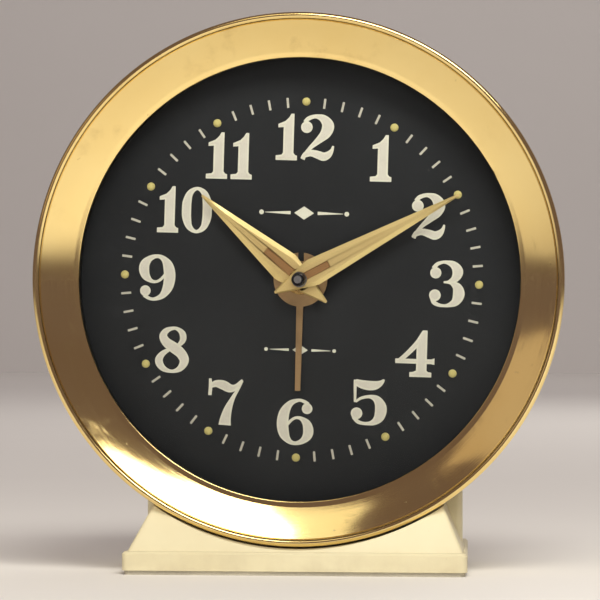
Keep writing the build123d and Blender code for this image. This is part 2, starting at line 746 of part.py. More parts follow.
with BuildPart() as alarm_set_arbor:
    turned(alarm_set_place, [(arbor_radius, alarm_wheel_level - 0.4, knob_front + 3.0)])
    disc_of(tooth_outline(alarm_set_teeth, alarm_set_phase), alarm_set_place, alarm_wheel_level, 0.9, 0.5)

hand_thickness = 0.4
with BuildPart() as minute_hand:
    with BuildSketch(front_plane(minute_hand_front + hand_thickness, bearing=minute_hand_bearing)) as blade:
        with BuildLine():
            Polyline((34.1, 0.25), (2.8, 2.6), (0, 2.55), (-5.3, 0.3), (-5.3, -0.3), (0, -2.55),
                     (2.8, -2.6), (34.1, -0.25), close=True)
        make_face()
        Circle(1.46, mode=Mode.SUBTRACT)
    extrude(blade.sketch, amount=hand_thickness)

with BuildPart() as hour_hand:
    with BuildSketch(front_plane(hour_hand_front + hand_thickness, bearing=hour_hand_bearing)) as blade:
        with BuildLine():
            Polyline((24.6, 0.25), (4.0, 3.0), (1.4, 3.0), (-6.6, 0.3), (-6.6, -0.3), (1.4, -3.0),
                     (4.0, -3.0), (24.6, -0.25), close=True)
        make_face()
        Circle(2.16, mode=Mode.SUBTRACT)
    extrude(blade.sketch, amount=hand_thickness)

with BuildPart() as alarm_hand:
    with BuildSketch(front_plane(alarm_hand_front + hand_thickness, bearing=alarm_hand_bearing)) as blade:
        Circle(5.1)
        with BuildLine():
            Polyline((21.0, 0.5), (3.0, 0.65), (3.0, -0.65), (21.0, -0.5), close=True)
        make_face()
        with Locations((-4.6, 0)):
            Rectangle(2.2, 1.1, mode=Mode.SUBTRACT)
        Circle(2.86, mode=Mode.SUBTRACT)
    extrude(blade.sketch, amount=hand_thickness)

with BuildPart() as centre_cap:
    turned(centre_place, [(1.25, hub_front + 0.3, minute_hand_front - 0.02)], bore=arbor_radius + 0.01)

# ---- Back controls ----
with BuildPart() as time_set_knob:
    with BuildSketch(front_plane(knob_front + time_knob_length)) as grip:
        Circle(time_knob_radius)
        with PolarLocations(time_knob_radius + 0.15, 24):
            Circle(flute_radius, mode=Mode.SUBTRACT)
    extrude(grip.sketch, amount=time_knob_length)
    bore(knob_front + 3.6, 5.0, centre_place, arbor_radius + 0.01)

with BuildPart() as alarm_set_knob:
    with BuildSketch(front_plane(knob_front + alarm_knob_length, alarm_set_place)) as grip:
        Circle(alarm_knob_radius)
        with PolarLocations(alarm_knob_radius + 0.15, 20):
            Circle(flute_radius, mode=Mode.SUBTRACT)
    extrude(grip.sketch, amount=alarm_knob_length)
    bore(knob_front + 3.0, 4.0, alarm_set_place, arbor_radius + 0.01)

with BuildPart() as shutoff_button:
    turned(shutoff_place, [
        (1.2, back_plate_front - 4.0, shutoff_front),
        (3.0, shutoff_front, shutoff_front + 3.6),
        (2.4, shutoff_front + 3.6, shutoff_front + 4.0),
    ])

# ---- Alarm train ----
with BuildPart() as alarm_escape_wheel:
    turned(alarm_escape_place, [
        (pivot_radius, front_plate_front, front_plate_back + pivot_shoulder),
        (0.9, front_plate_back + pivot_shoulder, back_plate_front - pivot_shoulder),
        (pivot_radius, back_plate_front - pivot_shoulder, back_plate_back),
    ])
    disc_of(tooth_outline(alarm_pinion_teeth, alarm_pinion_phase), alarm_escape_place, great_level, 1.8, 0.5)
    disc_of(ratchet_outline(12, 4.8, 3.8), alarm_escape_place, middle + 7.3, 0.7, 0.5)

with BuildPart() as hammer:
    head_place = (-6.3, -33.9)
    arm_bearing = degrees(atan2(head_place[1] - hammer_place[1], head_place[0] - hammer_place[0]))
    arm_reach = dist(head_place, hammer_place)
    turned(hammer_place, [
        (pivot_radius, front_plate_front, front_plate_back + pivot_shoulder),
        (0.6, front_plate_back + pivot_shoulder, back_plate_front - pivot_shoulder),
        (pivot_radius, back_plate_front - pivot_shoulder, back_plate_back),
    ])
    with BuildSketch(front_plane(middle + 2.6, hammer_place, arm_bearing)) as arm:
        with Locations((arm_reach / 2, 0)):
            Rectangle(arm_reach, 1.0)
        Circle(1.2)
    extrude(arm.sketch, amount=0.6)
    turned(head_place, [(1.3, middle - 0.5, middle + 3.2)])
    with BuildSketch(front_plane(middle + 6.4, hammer_place, hammer_bearing + 180)) as pallets:
        for side in (-1, 1):
            with BuildSketch(mode=Mode.PRIVATE) as arm:
                Circle(0.9)
                with Locations((escape_to_lever - 5.7 * cos(pi / 4), side * 5.7 * sin(pi / 4))):
                    Circle(0.4)
                make_hull()
            add(arm.sketch)
    extrude(pallets.sketch, amount=0.6)
    with BuildSketch(front_plane(middle + 7.6, hammer_place, hammer_bearing + 180)) as pins:
        pin_reach = 5.7 * cos(pi / 4)
        with Locations((escape_to_lever - pin_reach, -pin_reach), (escape_to_lever - pin_reach, pin_reach)):
            Circle(0.3)
    extrude(pins.sketch, amount=1.5)

pieces = {
    "base_foot": base_foot, "base_pad": base_pad, "base_weight": base_weight, "base_screws": base_screws,
    "base_nuts": base_nuts, "case_drum": case_drum, "bezel": bezel, "crystal": crystal,
    "dial_ring": dial_ring, "dial": dial, "back_cover": back_cover, "cover_screws": cover_screws,
    "front_plate": front_plate, "back_plate": back_plate, "pillars": pillars,
    "pillar_standoffs": pillar_standoffs, "bell": bell, "time_mainspring": time_mainspring,
    "alarm_mainspring": alarm_mainspring, "hairspring": hairspring,
    "time_great_wheel": time_great_wheel, "time_winding_arbor": time_winding_arbor,
    "time_ratchet_wheel": time_ratchet_wheel, "time_click": time_click,
    "time_winding_key": time_winding_key, "alarm_great_wheel": alarm_great_wheel,
    "alarm_winding_arbor": alarm_winding_arbor, "alarm_ratchet_wheel": alarm_ratchet_wheel,
    "alarm_click": alarm_click, "alarm_winding_key": alarm_winding_key,
    "centre_pinion": centre_pinion, "centre_wheel": centre_wheel, "third_arbor": third_arbor,
    "third_wheel": third_wheel, "fourth_arbor": fourth_arbor, "fourth_wheel": fourth_wheel,
    "escape_arbor": escape_arbor, "escape_wheel": escape_wheel, "pallet_lever": pallet_lever,
    "balance_staff": balance_staff, "balance_wheel": balance_wheel, "regulator_lever": regulator_lever,
    "centre_arbor": centre_arbor, "cannon_pinion": cannon_pinion, "minute_wheel": minute_wheel,
    "hour_wheel": hour_wheel, "alarm_wheel": alarm_wheel, "alarm_set_arbor": alarm_set_arbor,
    "minute_hand": minute_hand, "hour_hand": hour_hand, "alarm_hand": alarm_hand,
    "centre_cap": centre_cap, "time_set_knob": time_set_knob, "alarm_set_knob": alarm_set_knob,
    "shutoff_button": shutoff_button, "alarm_escape_wheel": alarm_escape_wheel, "hammer": hammer,
}
os.makedirs("parts", exist_ok=True)
for name, piece in pieces.items():
    piece.part.label = name
    export_step(piece.part, f"parts/{name}.step")
    print(name, len(piece.part.solids()), round(piece.part.volume, 2))
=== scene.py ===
import bmesh
import bpy
import json
from math import cos, degrees, pi, radians, sin, sqrt
from mathutils import Matrix, Vector
from mathutils.geometry import delaunay_2d_cdt


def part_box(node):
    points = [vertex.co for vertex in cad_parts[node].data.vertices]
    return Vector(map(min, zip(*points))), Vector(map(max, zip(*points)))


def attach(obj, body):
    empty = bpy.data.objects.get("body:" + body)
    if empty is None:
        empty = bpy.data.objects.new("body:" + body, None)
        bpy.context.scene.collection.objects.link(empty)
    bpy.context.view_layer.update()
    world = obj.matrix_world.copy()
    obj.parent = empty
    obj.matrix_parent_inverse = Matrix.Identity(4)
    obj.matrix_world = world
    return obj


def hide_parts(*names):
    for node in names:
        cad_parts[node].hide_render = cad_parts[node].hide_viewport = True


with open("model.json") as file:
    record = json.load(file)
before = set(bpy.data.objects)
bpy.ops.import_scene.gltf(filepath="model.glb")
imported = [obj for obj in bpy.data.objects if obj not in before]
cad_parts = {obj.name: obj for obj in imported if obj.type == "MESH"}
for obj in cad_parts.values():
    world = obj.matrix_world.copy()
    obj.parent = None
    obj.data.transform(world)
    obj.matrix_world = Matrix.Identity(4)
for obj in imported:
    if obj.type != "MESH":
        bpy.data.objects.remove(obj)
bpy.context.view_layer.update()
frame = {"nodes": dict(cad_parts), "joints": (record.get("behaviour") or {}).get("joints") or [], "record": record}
mm = 0.001

# Places read from the frame, in metres
bezelLow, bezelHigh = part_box("bezel")
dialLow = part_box("dial")[0]
axisHeight = (bezelLow.z + bezelHigh.z) / 2
bezelRadius = (bezelHigh.x - bezelLow.x) / 2
rimFront = bezelLow.y
dialFace = dialLow.y
jointPlace = {joint["name"]: Vector(joint["pos_m"]) for joint in frame["joints"] if "pos_m" in joint}


# a node socket that can be added, multiplied and so on
class Wire:

    def __init__(self, finish, socket):
        self.finish = finish
        self.socket = socket

    def maths(self, operation, first, second):
        return self.finish.node("ShaderNodeMath", {"operation": operation}, {0: first, 1: second})

    def __add__(self, other):
        return self.maths("ADD", self, other)

    __radd__ = __add__

    def __sub__(self, other):
        return self.maths("SUBTRACT", self, other)

    def __rsub__(self, other):
        return self.maths("SUBTRACT", other, self)

    def __mul__(self, other):
        return self.maths("MULTIPLY", self, other)

    __rmul__ = __mul__

    def __pow__(self, other):
        return self.maths("POWER", self, other)


# a material whose nodes are made by one method
class Finish:

    def __init__(self, name):
        self.material = bpy.data.materials.new(name)
        self.material.use_nodes = True
        self.tree = self.material.node_tree
        self.shader = self.tree.nodes["Principled BSDF"]
        self.output = self.tree.nodes["Material Output"]

    def node(self, kind, settings, inputs, result=0):
        made = self.tree.nodes.new(kind)
        for key, value in settings.items():
            setattr(made, key, value)
        for key, value in inputs.items():
            self.feed(made.inputs[key], value)
        return Wire(self, made.outputs[result])

    def feed(self, socket, value):
        if isinstance(value, Wire):
            self.tree.links.new(value.socket, socket)
        elif socket.type == "RGBA" and len(value) == 3:
            socket.default_value = (*value, 1)
        else:
            socket.default_value = value

    # object coordinates measured from a centre, in metres
    def place(self, centre=(0, 0, 0)):
        coords = self.node("ShaderNodeTexCoord", {}, {}, "Object")
        return self.node("ShaderNodeMapping", {"vector_type": "POINT"},
                         {"Vector": coords, "Location": [-c for c in centre]})

    def noise(self, where, scale, detail=4.0, roughness=0.55, seed=0.0):
        return self.node("ShaderNodeTexNoise", {"noise_dimensions": "4D"},
                         {"Vector": where, "W": seed, "Scale": scale, "Detail": detail,
                          "Roughness": roughness})

    def ramp(self, value, low, high, fromValue=0.0, toValue=1.0):
        return self.node("ShaderNodeMapRange", {"clamp": True},
                         {"Value": value, "From Min": low, "From Max": high,
                          "To Min": fromValue, "To Max": toValue})

    def mix(self, factor, first, second):
        return self.node("ShaderNodeMix", {"data_type": "RGBA"}, {0: factor, 6: first, 7: second}, 2)

    # distance from a fore-and-aft arbor, angle about it and depth
    def polar(self, centre):
        where = self.place(centre)
        x, y, z = (self.node("ShaderNodeSeparateXYZ", {}, {0: where}, i) for i in range(3))
        radius = (x * x + z * z) ** 0.5
        angle = self.node("ShaderNodeMath", {"operation": "ARCTAN2"}, {0: z, 1: x})
        return radius, angle, y

    def join(self, x, y, z):
        return self.node("ShaderNodeCombineXYZ", {}, {0: x, 1: y, 2: z})

    def bump(self, height, strength, distance=mm * 0.05):
        normal = self.node("ShaderNodeBump", {}, {"Strength": strength, "Distance": distance,
                                                  "Height": height})
        self.feed(self.shader.inputs["Normal"], normal)

    def set(self, **values):
        names = {"colour": "Base Color", "rough": "Roughness", "metal": "Metallic", "coat": "Coat Weight",
                 "coatRough": "Coat Roughness", "gleam": "Specular IOR Level"}
        for key, value in values.items():
            self.feed(self.shader.inputs[names[key]], value)


def onlyMaterial(piece, material):
    piece.data.materials.clear()
    piece.data.materials.append(material)


# put a mesh, a lamp or a camera into the scene as an object
def addObject(name, data):
    made = bpy.data.objects.new(name, data)
    bpy.context.scene.collection.objects.link(made)
    return made


def newPiece(name, mesh, material, body, smoothAngle):
    piece = addObject(name, mesh)
    onlyMaterial(piece, material)
    mesh.shade_smooth()
    mesh.set_sharp_from_angle(angle=radians(smoothAngle))
    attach(piece, body)
    return piece


# run build on an empty bmesh, merge doubles, turn the faces outwards and return the mesh
def meshFrom(name, build, tidy=True):
    work = bmesh.new()
    build(work)
    if tidy:
        bmesh.ops.remove_doubles(work, verts=work.verts, dist=1e-6)
        bmesh.ops.recalc_face_normals(work, faces=work.faces)
    mesh = bpy.data.meshes.new(name)
    work.to_mesh(mesh)
    work.free()
    return mesh


# turn a closed outline of (radius, y) in millimetres about a fore-and-aft arbor
def latheInto(work, outline, centre, turns):
    rings = []
    for step in range(turns):
        angle = 2 * pi * step / turns
        rings.append([
            work.verts.new((centre[0] + r * mm * cos(angle), y * mm, centre[2] + r * mm * sin(angle)))
            for r, y in outline
        ])
    count = len(outline)
    for step in range(turns):
        here, there = rings[step], rings[(step + 1) % turns]
        for i in range(count):
            j = (i + 1) % count
            corners = [here[i], here[j], there[j], there[i]]
            if outline[i][0] == 0 and outline[j][0] == 0:
                continue
            if outline[i][0] == 0:
                corners = [here[i], here[j], there[j]]
            elif outline[j][0] == 0:
                corners = [here[i], here[j], there[i]]
            work.faces.new(corners)


# points of an arc, in degrees, both ends included
def arcPoints(centre, radius, start, end, count):
    return [(centre[0] + radius * cos(radians(start + (end - start) * i / count)),
             centre[1] + radius * sin(radians(start + (end - start) * i / count)))
            for i in range(count + 1)]


# points spread over a whole circle
def circlePoints(radius, count):
    return [(radius * cos(2 * pi * i / count), radius * sin(2 * pi * i / count)) for i in range(count)]


# quads between each ring of vertices and the next
def bridgeRings(work, rings):
    for here, there in zip(rings, rings[1:]):
        for i in range(len(here)):
            j = (i + 1) % len(here)
            work.faces.new([here[i], here[j], there[j], there[i]])


def linePoints(first, last, count):
    return [(first[0] + (last[0] - first[0]) * i / count, first[1] + (last[1] - first[1]) * i / count)
            for i in range(count)]


# polished gilt brass, spun about an arbor, with faint tarnish and small scratches
def giltFinish(name, centre, patina=0.5, spin=1.0, shine=0.13, stamped=False, metal=1.0):
    made = Finish(name)
    radius, angle, depth = made.polar(centre)
    where = made.place(centre)
    cloud = made.noise(where, 38, 5, 0.6, 1.3)
    tarnish = made.ramp(made.noise(where, 130, 6, 0.65, 4.2), 0.56, 0.76)
    tarnish = tarnish * made.ramp(cloud, 0.42, 0.62)
    specks = made.ramp(made.noise(where, 900, 3, 0.5, 7.7), 0.70, 0.76)
    warm = made.mix(made.ramp(cloud, 0.35, 0.7), (0.94, 0.74, 0.33), (0.89, 0.67, 0.27))
    dull = made.mix(tarnish * patina, warm, (0.42, 0.26, 0.10))
    if stamped:
        pressed = made.node("ShaderNodeAttribute", {"attribute_name": "stamped"}, {}, "Fac")
        dull = made.mix(pressed, dull, (0.44, 0.24, 0.10))
    made.set(colour=made.mix(specks * (patina * 0.6), dull, (0.20, 0.11, 0.04)), metal=metal)
    lines = made.noise(made.join(radius * 5200, angle * 1.1, depth * 5200), 1.0, 3, 0.6, 2.0)
    across = made.join(radius * 700, angle * 9, depth * 700)
    scratch = made.ramp(made.noise(across, 1.0, 2, 0.5, 9), 0.62, 0.8)
    made.set(rough=shine + tarnish * 0.25 + specks * 0.2 + scratch * 0.10 + (lines - 0.5) * 0.10)
    made.bump(lines * spin + scratch * 0.8 - specks * 0.8, 0.10)
    return made.material


# moulded cream plastic, a little yellowed, with painted shade low down (darker towards the floor, in patches) and
# a fine pebble
def plasticFinish(name, light, dark, rough=0.42):
    made = Finish(name)
    where = made.place()
    height = made.node("ShaderNodeSeparateXYZ", {}, {0: where}, 2)
    cloud = made.noise(where, 45, 4, 0.6, 0.7)
    # painted shade: full strength below 0.8 mm, fading out by 6 mm up, broken into patches by noise
    paintedLowShade = made.ramp(height, 0.0008, 0.006, 1.0, 0.0)
    paintedLowShade = paintedLowShade * made.ramp(made.noise(where, 160, 5, 0.6, 3), 0.4, 0.7)
    flecks = made.ramp(made.noise(where, 1500, 2, 0.5, 5), 0.70, 0.78)
    colour = made.mix(made.ramp(cloud, 0.3, 0.7), light, dark)
    # mix the painted shade colour in low down; the same mask also roughens the surface there
    colour = made.mix(paintedLowShade * 0.35, colour, (0.36, 0.28, 0.17))
    made.set(colour=made.mix(flecks * 0.25, colour, (0.42, 0.34, 0.2)))
    pebble = made.noise(where, 2600, 3, 0.5, 8)
    made.set(rough=rough + (cloud - 0.5) * 0.12 + paintedLowShade * 0.2, coat=0.25, coatRough=0.25, gleam=0.45)
    made.bump(pebble + cloud * 0.5, 0.18)
    return made.material


# baked enamel on pressed steel: faint orange peel and rubbed patches
def enamelFinish(name, colour, rough=0.34):
    made = Finish(name)
    where = made.place()
    peel = made.noise(where, 700, 2, 0.4, 1)
    cloud = made.noise(where, 35, 5, 0.6, 6)
    darker = [c * 0.82 for c in colour]
    chips = made.ramp(made.noise(where, 420, 5, 0.7, 12), 0.735, 0.765)
    base = made.mix(made.ramp(cloud, 0.35, 0.7), colour, darker)
    made.set(colour=made.mix(chips * 0.7, base, (0.25, 0.2, 0.13)))
    made.set(rough=rough + (cloud - 0.5) * 0.16 + chips * 0.3, coat=0.4, coatRough=0.15)
    made.bump(peel - chips * 0.8, 0.12)
    return made.material


# satin black paint with a faint tooth and a few dust specks
def dialFinish():
    made = Finish("dialBlack")
    where = made.place()
    cloud = made.noise(where, 60, 5, 0.6, 2)
    grain = made.noise(where, 3000, 2, 0.5, 5)
    dust = made.ramp(made.noise(where, 1300, 2, 0.4, 8), 0.755, 0.79)
    base = made.mix(made.ramp(cloud, 0.3, 0.7), (0.014, 0.0155, 0.0175), (0.020, 0.022, 0.0245))
    made.set(colour=made.mix(dust * 0.25, base, (0.2, 0.2, 0.18)), gleam=0.32)
    made.set(rough=0.62 + (cloud - 0.5) * 0.14)
    made.bump(grain, 0.03, mm * 0.01)
    return made.material


# thick printed or luminous paint: slightly grainy and uneven
def paintFinish(name, colour, second, rough=0.6, grainScale=2400, lift=0.25):
    made = Finish(name)
    where = made.place()
    cloud = made.noise(where, 300, 4, 0.6, 3)
    grain = made.noise(where, grainScale, 4, 0.7, 6)
    mixed = made.mix(made.ramp(cloud * 0.5 + grain * 0.5, 0.38, 0.62), colour, second)
    made.set(colour=mixed, rough=rough + (grain - 0.5) * 0.2)
    made.bump(grain, lift, mm * 0.03)
    return made.material


# rolled or turned brass with fine circular lines and fingered patches
def brassFinish(name, colour=(0.72, 0.47, 0.17), rough=0.27, centre=(0, 0, 0)):
    made = Finish(name)
    radius, angle, depth = made.polar(centre)
    where = made.place(centre)
    cloud = made.noise(where, 90, 5, 0.6, 4)
    lines = made.noise(made.join(radius * 6000, angle * 2, depth * 6000), 1.0, 3, 0.6, 3)
    dull = [c * 0.55 for c in colour]
    made.set(colour=made.mix(made.ramp(cloud, 0.45, 0.75), colour, dull), metal=1.0)
    made.set(rough=rough + (lines - 0.5) * 0.18 + (cloud - 0.5) * 0.2)
    made.bump(lines + cloud * 0.3, 0.12)
    return made.material


# ground steel; blue above zero tints it as tempered spring
def steelFinish(name, colour=(0.46, 0.46, 0.47), rough=0.3, blue=0.0):
    made = Finish(name)
    where = made.place()
    cloud = made.noise(where, 120, 5, 0.6, 5)
    grind = made.noise(where, 2800, 5, 0.75, 1)
    tint = [c * (1 - blue * k) for c, k in zip(colour, (0.75, 0.55, 0.1))]
    made.set(colour=made.mix(made.ramp(cloud, 0.3, 0.75), tint, [c * 0.6 for c in tint]), metal=1.0)
    made.set(rough=rough + (grind - 0.5) * 0.22 + (cloud - 0.5) * 0.15)
    made.bump(grind, 0.15)
    return made.material


# cast iron, rubber or flocked sheet: matt and grainy
def roughFinish(name, colour, rough=0.85, scale=900, lift=0.5):
    made = Finish(name)
    where = made.place()
    grain = made.noise(where, scale, 6, 0.7, 2)
    cloud = made.noise(where, 70, 4, 0.6, 9)
    blend = made.ramp(cloud * 0.6 + grain * 0.4, 0.35, 0.65)
    made.set(colour=made.mix(blend, colour, [c * 0.7 for c in colour]))
    made.set(rough=rough + (grain - 0.5) * 0.2)
    made.bump(grain, lift, mm * 0.08)
    return made.material


# clear crystal: see-through, with a gloss that grows towards grazing angles and faint smears
def crystalFinish():
    made = Finish("clearCrystal")
    where = made.place()
    smear = made.noise(where, 55, 5, 0.6, 3)
    made.set(colour=(0.01, 0.01, 0.01), gleam=0.5, coat=0.3)
    made.set(rough=made.ramp(smear, 0.4, 0.7, 0.02, 0.07))
    clear = made.node("ShaderNodeBsdfTransparent", {}, {"Color": (0.985, 0.99, 0.985)})
    edge = made.node("ShaderNodeFresnel", {}, {"IOR": 1.35})
    share = made.ramp(edge, 0.0, 1.0, 0.015, 0.55)
    body = made.node("ShaderNodeMixShader", {}, {0: share, 1: clear, 2: Wire(made, made.shader.outputs[0])})
    made.feed(made.output.inputs["Surface"], body)
    return made.material


axisPoint = (0, 0, axisHeight)
giltBezel = giltFinish("giltBezel", axisPoint, 0.45, 1.0, 0.11)
giltHand = giltFinish("giltHand", axisPoint, 0.30, 0.3, 0.33, True, 0.55)
giltKey = giltFinish("giltKey", axisPoint, 0.5, 0.4, 0.24)
creamPlastic = plasticFinish("creamPlastic", (0.71, 0.65, 0.43), (0.64, 0.57, 0.36))
creamEnamel = enamelFinish("creamEnamel", (0.80, 0.74, 0.55))
dialBlack = dialFinish()
numeralEdge = paintFinish("numeralEdge", (0.80, 0.79, 0.66), (0.72, 0.71, 0.58))
numeralLume = paintFinish("numeralLume", (0.74, 0.71, 0.61), (0.66, 0.63, 0.54), 0.75, 3200, 0.4)
hourDotLume = paintFinish("hourDotLume", (0.70, 0.62, 0.24), (0.58, 0.50, 0.17), 0.6)
tickPaint = paintFinish("tickPaint", (0.62, 0.60, 0.50), (0.52, 0.50, 0.42))
blackPlastic = roughFinish("blackPlastic", (0.018, 0.018, 0.018), 0.6, 1800, 0.2)
alarmBrown = brassFinish("alarmBrown", (0.62, 0.42, 0.22), 0.42, axisPoint)
burntSteel = brassFinish("burntSteel", (0.07, 0.07, 0.08), 0.35, axisPoint)
rolledBrass = brassFinish("rolledBrass", centre=axisPoint)
groundSteel = steelFinish("groundSteel")
springBlue = steelFinish("springBlue", (0.40, 0.42, 0.48), 0.28, 0.5)
bellNickel = steelFinish("bellNickel", (0.68, 0.66, 0.60), 0.14)
castIron = roughFinish("castIron", (0.10, 0.10, 0.105), 0.7)
paleFelt = roughFinish("paleFelt", (0.50, 0.46, 0.36), 0.95, 1600, 0.7)
clearCrystal = crystalFinish()
stampedBrown = paintFinish("stampedBrown", (0.13, 0.075, 0.04), (0.09, 0.05, 0.03))
print("finishes made")

for node, obj in frame["nodes"].items():
    slotName = next(s["material_slot"] for s in frame["record"]["subparts"] if s["node"] == node)
    onlyMaterial(obj, {
        "foot_plastic": creamPlastic, "pad_felt": paleFelt, "steel": groundSteel, "weight_iron": castIron,
        "case_paint": creamEnamel, "gilt": giltKey, "clear_crystal": clearCrystal,
        "black_plastic": blackPlastic, "dial_black": dialBlack, "brass": rolledBrass,
        "spring_steel": springBlue, "bell_steel": bellNickel, "hand_gilt": giltHand,
    }[slotName])


# bezel
bezel = {
    "outer": bezelRadius / mm, "opening": 41.65, "beadWidth": 1.45, "depth": 3.9, "sheet": 0.7,
    "skirt": 7.0, "hemRadius": 0.36, "beadRadius": 0.66, "hollow": 0.16, "segments": 288,
    "nickAngle": 29.0, "nickDepth": 0.35, "nickWidth": 0.9,
}


def bezelOutline():
    front, outer, opening = rimFront / mm, bezel["outer"], bezel["opening"]
    hem, bead = bezel["hemRadius"], bezel["beadRadius"]
    beadInner = outer - bezel["beadWidth"]
    innerY = front + bezel["depth"]
    # rolled hem round the opening
    outline = arcPoints((opening + hem, innerY + 0.12), hem, 100, 250, 10)
    # dish, very slightly hollow
    first, last = (opening + 0.85, innerY - 0.22), (beadInner - 0.05, front + 0.64)
    steps = 18
    for i in range(steps + 1):
        share = i / steps
        sag = bezel["hollow"] * sin(pi * share)
        outline.append((first[0] + (last[0] - first[0]) * share,
                        first[1] + (last[1] - first[1]) * share + sag))
    # groove at the foot of the bead, then the bead and the skirt
    outline += [(beadInner + 0.06, front + 0.68), (beadInner + 0.13, front + 0.60)]
    outline += arcPoints((outer - bead, front + bead), bead, 190, 360, 18)
    skirtEnd = front + bezel["skirt"]
    outline += linePoints((outer, front + 1.3), (outer - 0.22, skirtEnd - 0.5), 5)
    outline += arcPoints((outer - 0.55, skirtEnd - 0.42), 0.40, 0, 180, 8)
    outline += [(outer - 0.95, front + 1.7), (beadInner - 0.1, front + 1.55),
                (opening + 1.0, innerY + bezel["sheet"] - 0.15), (opening + hem, innerY + 0.60)]
    return outline


def buildBezel(work):
    latheInto(work, bezelOutline(), axisPoint, bezel["segments"])
    # one small dent in the hem
    turn = radians(bezel["nickAngle"])
    nick = Vector((cos(turn), 0, sin(turn))) * bezel["opening"] * mm
    nick += Vector((0, (rimFront / mm + bezel["depth"]) * mm, axisHeight))
    for vert in work.verts:
        away = (vert.co - nick).length / (bezel["nickWidth"] * mm)
        if away < 1:
            vert.co.y += bezel["nickDepth"] * mm * (1 - away) ** 2 * 1.5


bezelRing = newPiece("bezelRing", meshFrom("bezelRing", buildBezel), giltBezel, "case", 30)
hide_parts("bezel")
print("bezel turned")


# crystal
crystal = {"edge": 41.3, "flange": 44.7, "seat": -12.9, "apex": rimFront / mm - 0.5, "thick": 1.1,
           "steps": 28, "segments": 192}


def domeDepth(radius, edge, apex, seat):
    rise = seat - apex
    sphere = (edge ** 2 + rise ** 2) / (2 * rise)
    return apex + sphere - sqrt(sphere ** 2 - radius ** 2)


def buildCrystal(work):
    steps, back = crystal["steps"], crystal["seat"] + crystal["thick"]
    inner = crystal["edge"] - crystal["thick"]
    outline = []
    for i in range(steps + 1):
        radius = crystal["edge"] * i / steps
        outline.append((radius, domeDepth(radius, crystal["edge"], crystal["apex"], crystal["seat"])))
    outline += [(crystal["flange"], crystal["seat"]), (crystal["flange"], back)]
    for i in range(steps, -1, -1):
        radius = inner * i / steps
        outline.append((radius, domeDepth(radius, inner, crystal["apex"] + crystal["thick"], back)))
    latheInto(work, outline, axisPoint, crystal["segments"])


crystalDome = newPiece("crystalDome", meshFrom("crystalDome", buildCrystal), clearCrystal, "case",
                       40)
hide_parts("crystal")
print("crystal turned")


# dial printing
dial = {
    "tilt": -1.7, "height": 8.8, "digitWidth": 0.7, "digitGap": 0.075,
    "border": 0.040, "edgeLift": 0.05, "lumeLift": 0.11, "lumeSink": 0.02,
    "tickInner": 32.55, "tickOuter": 34.45, "tickWidth": 0.42, "tickLift": 0.04,
    "dotRadius": 0.78, "dotCircle": 33.66, "dotLift": 0.38,
}
# each numeral: its digits and the centre of the whole figure, in millimetres on the dial
numerals = {
    "12": (0.0, 26.9), "1": (14.5, 23.3), "2": (23.8, 12.6), "3": (27.6, 0.0), "4": (21.9, -13.3),
    "5": (13.5, -22.7), "6": (-0.3, -26.9), "7": (-13.7, -23.6), "8": (-24.2, -14.0), "9": (-27.5, -0.4),
    "10": (-22.6, 12.6), "11": (-14.35, 23.05),
}
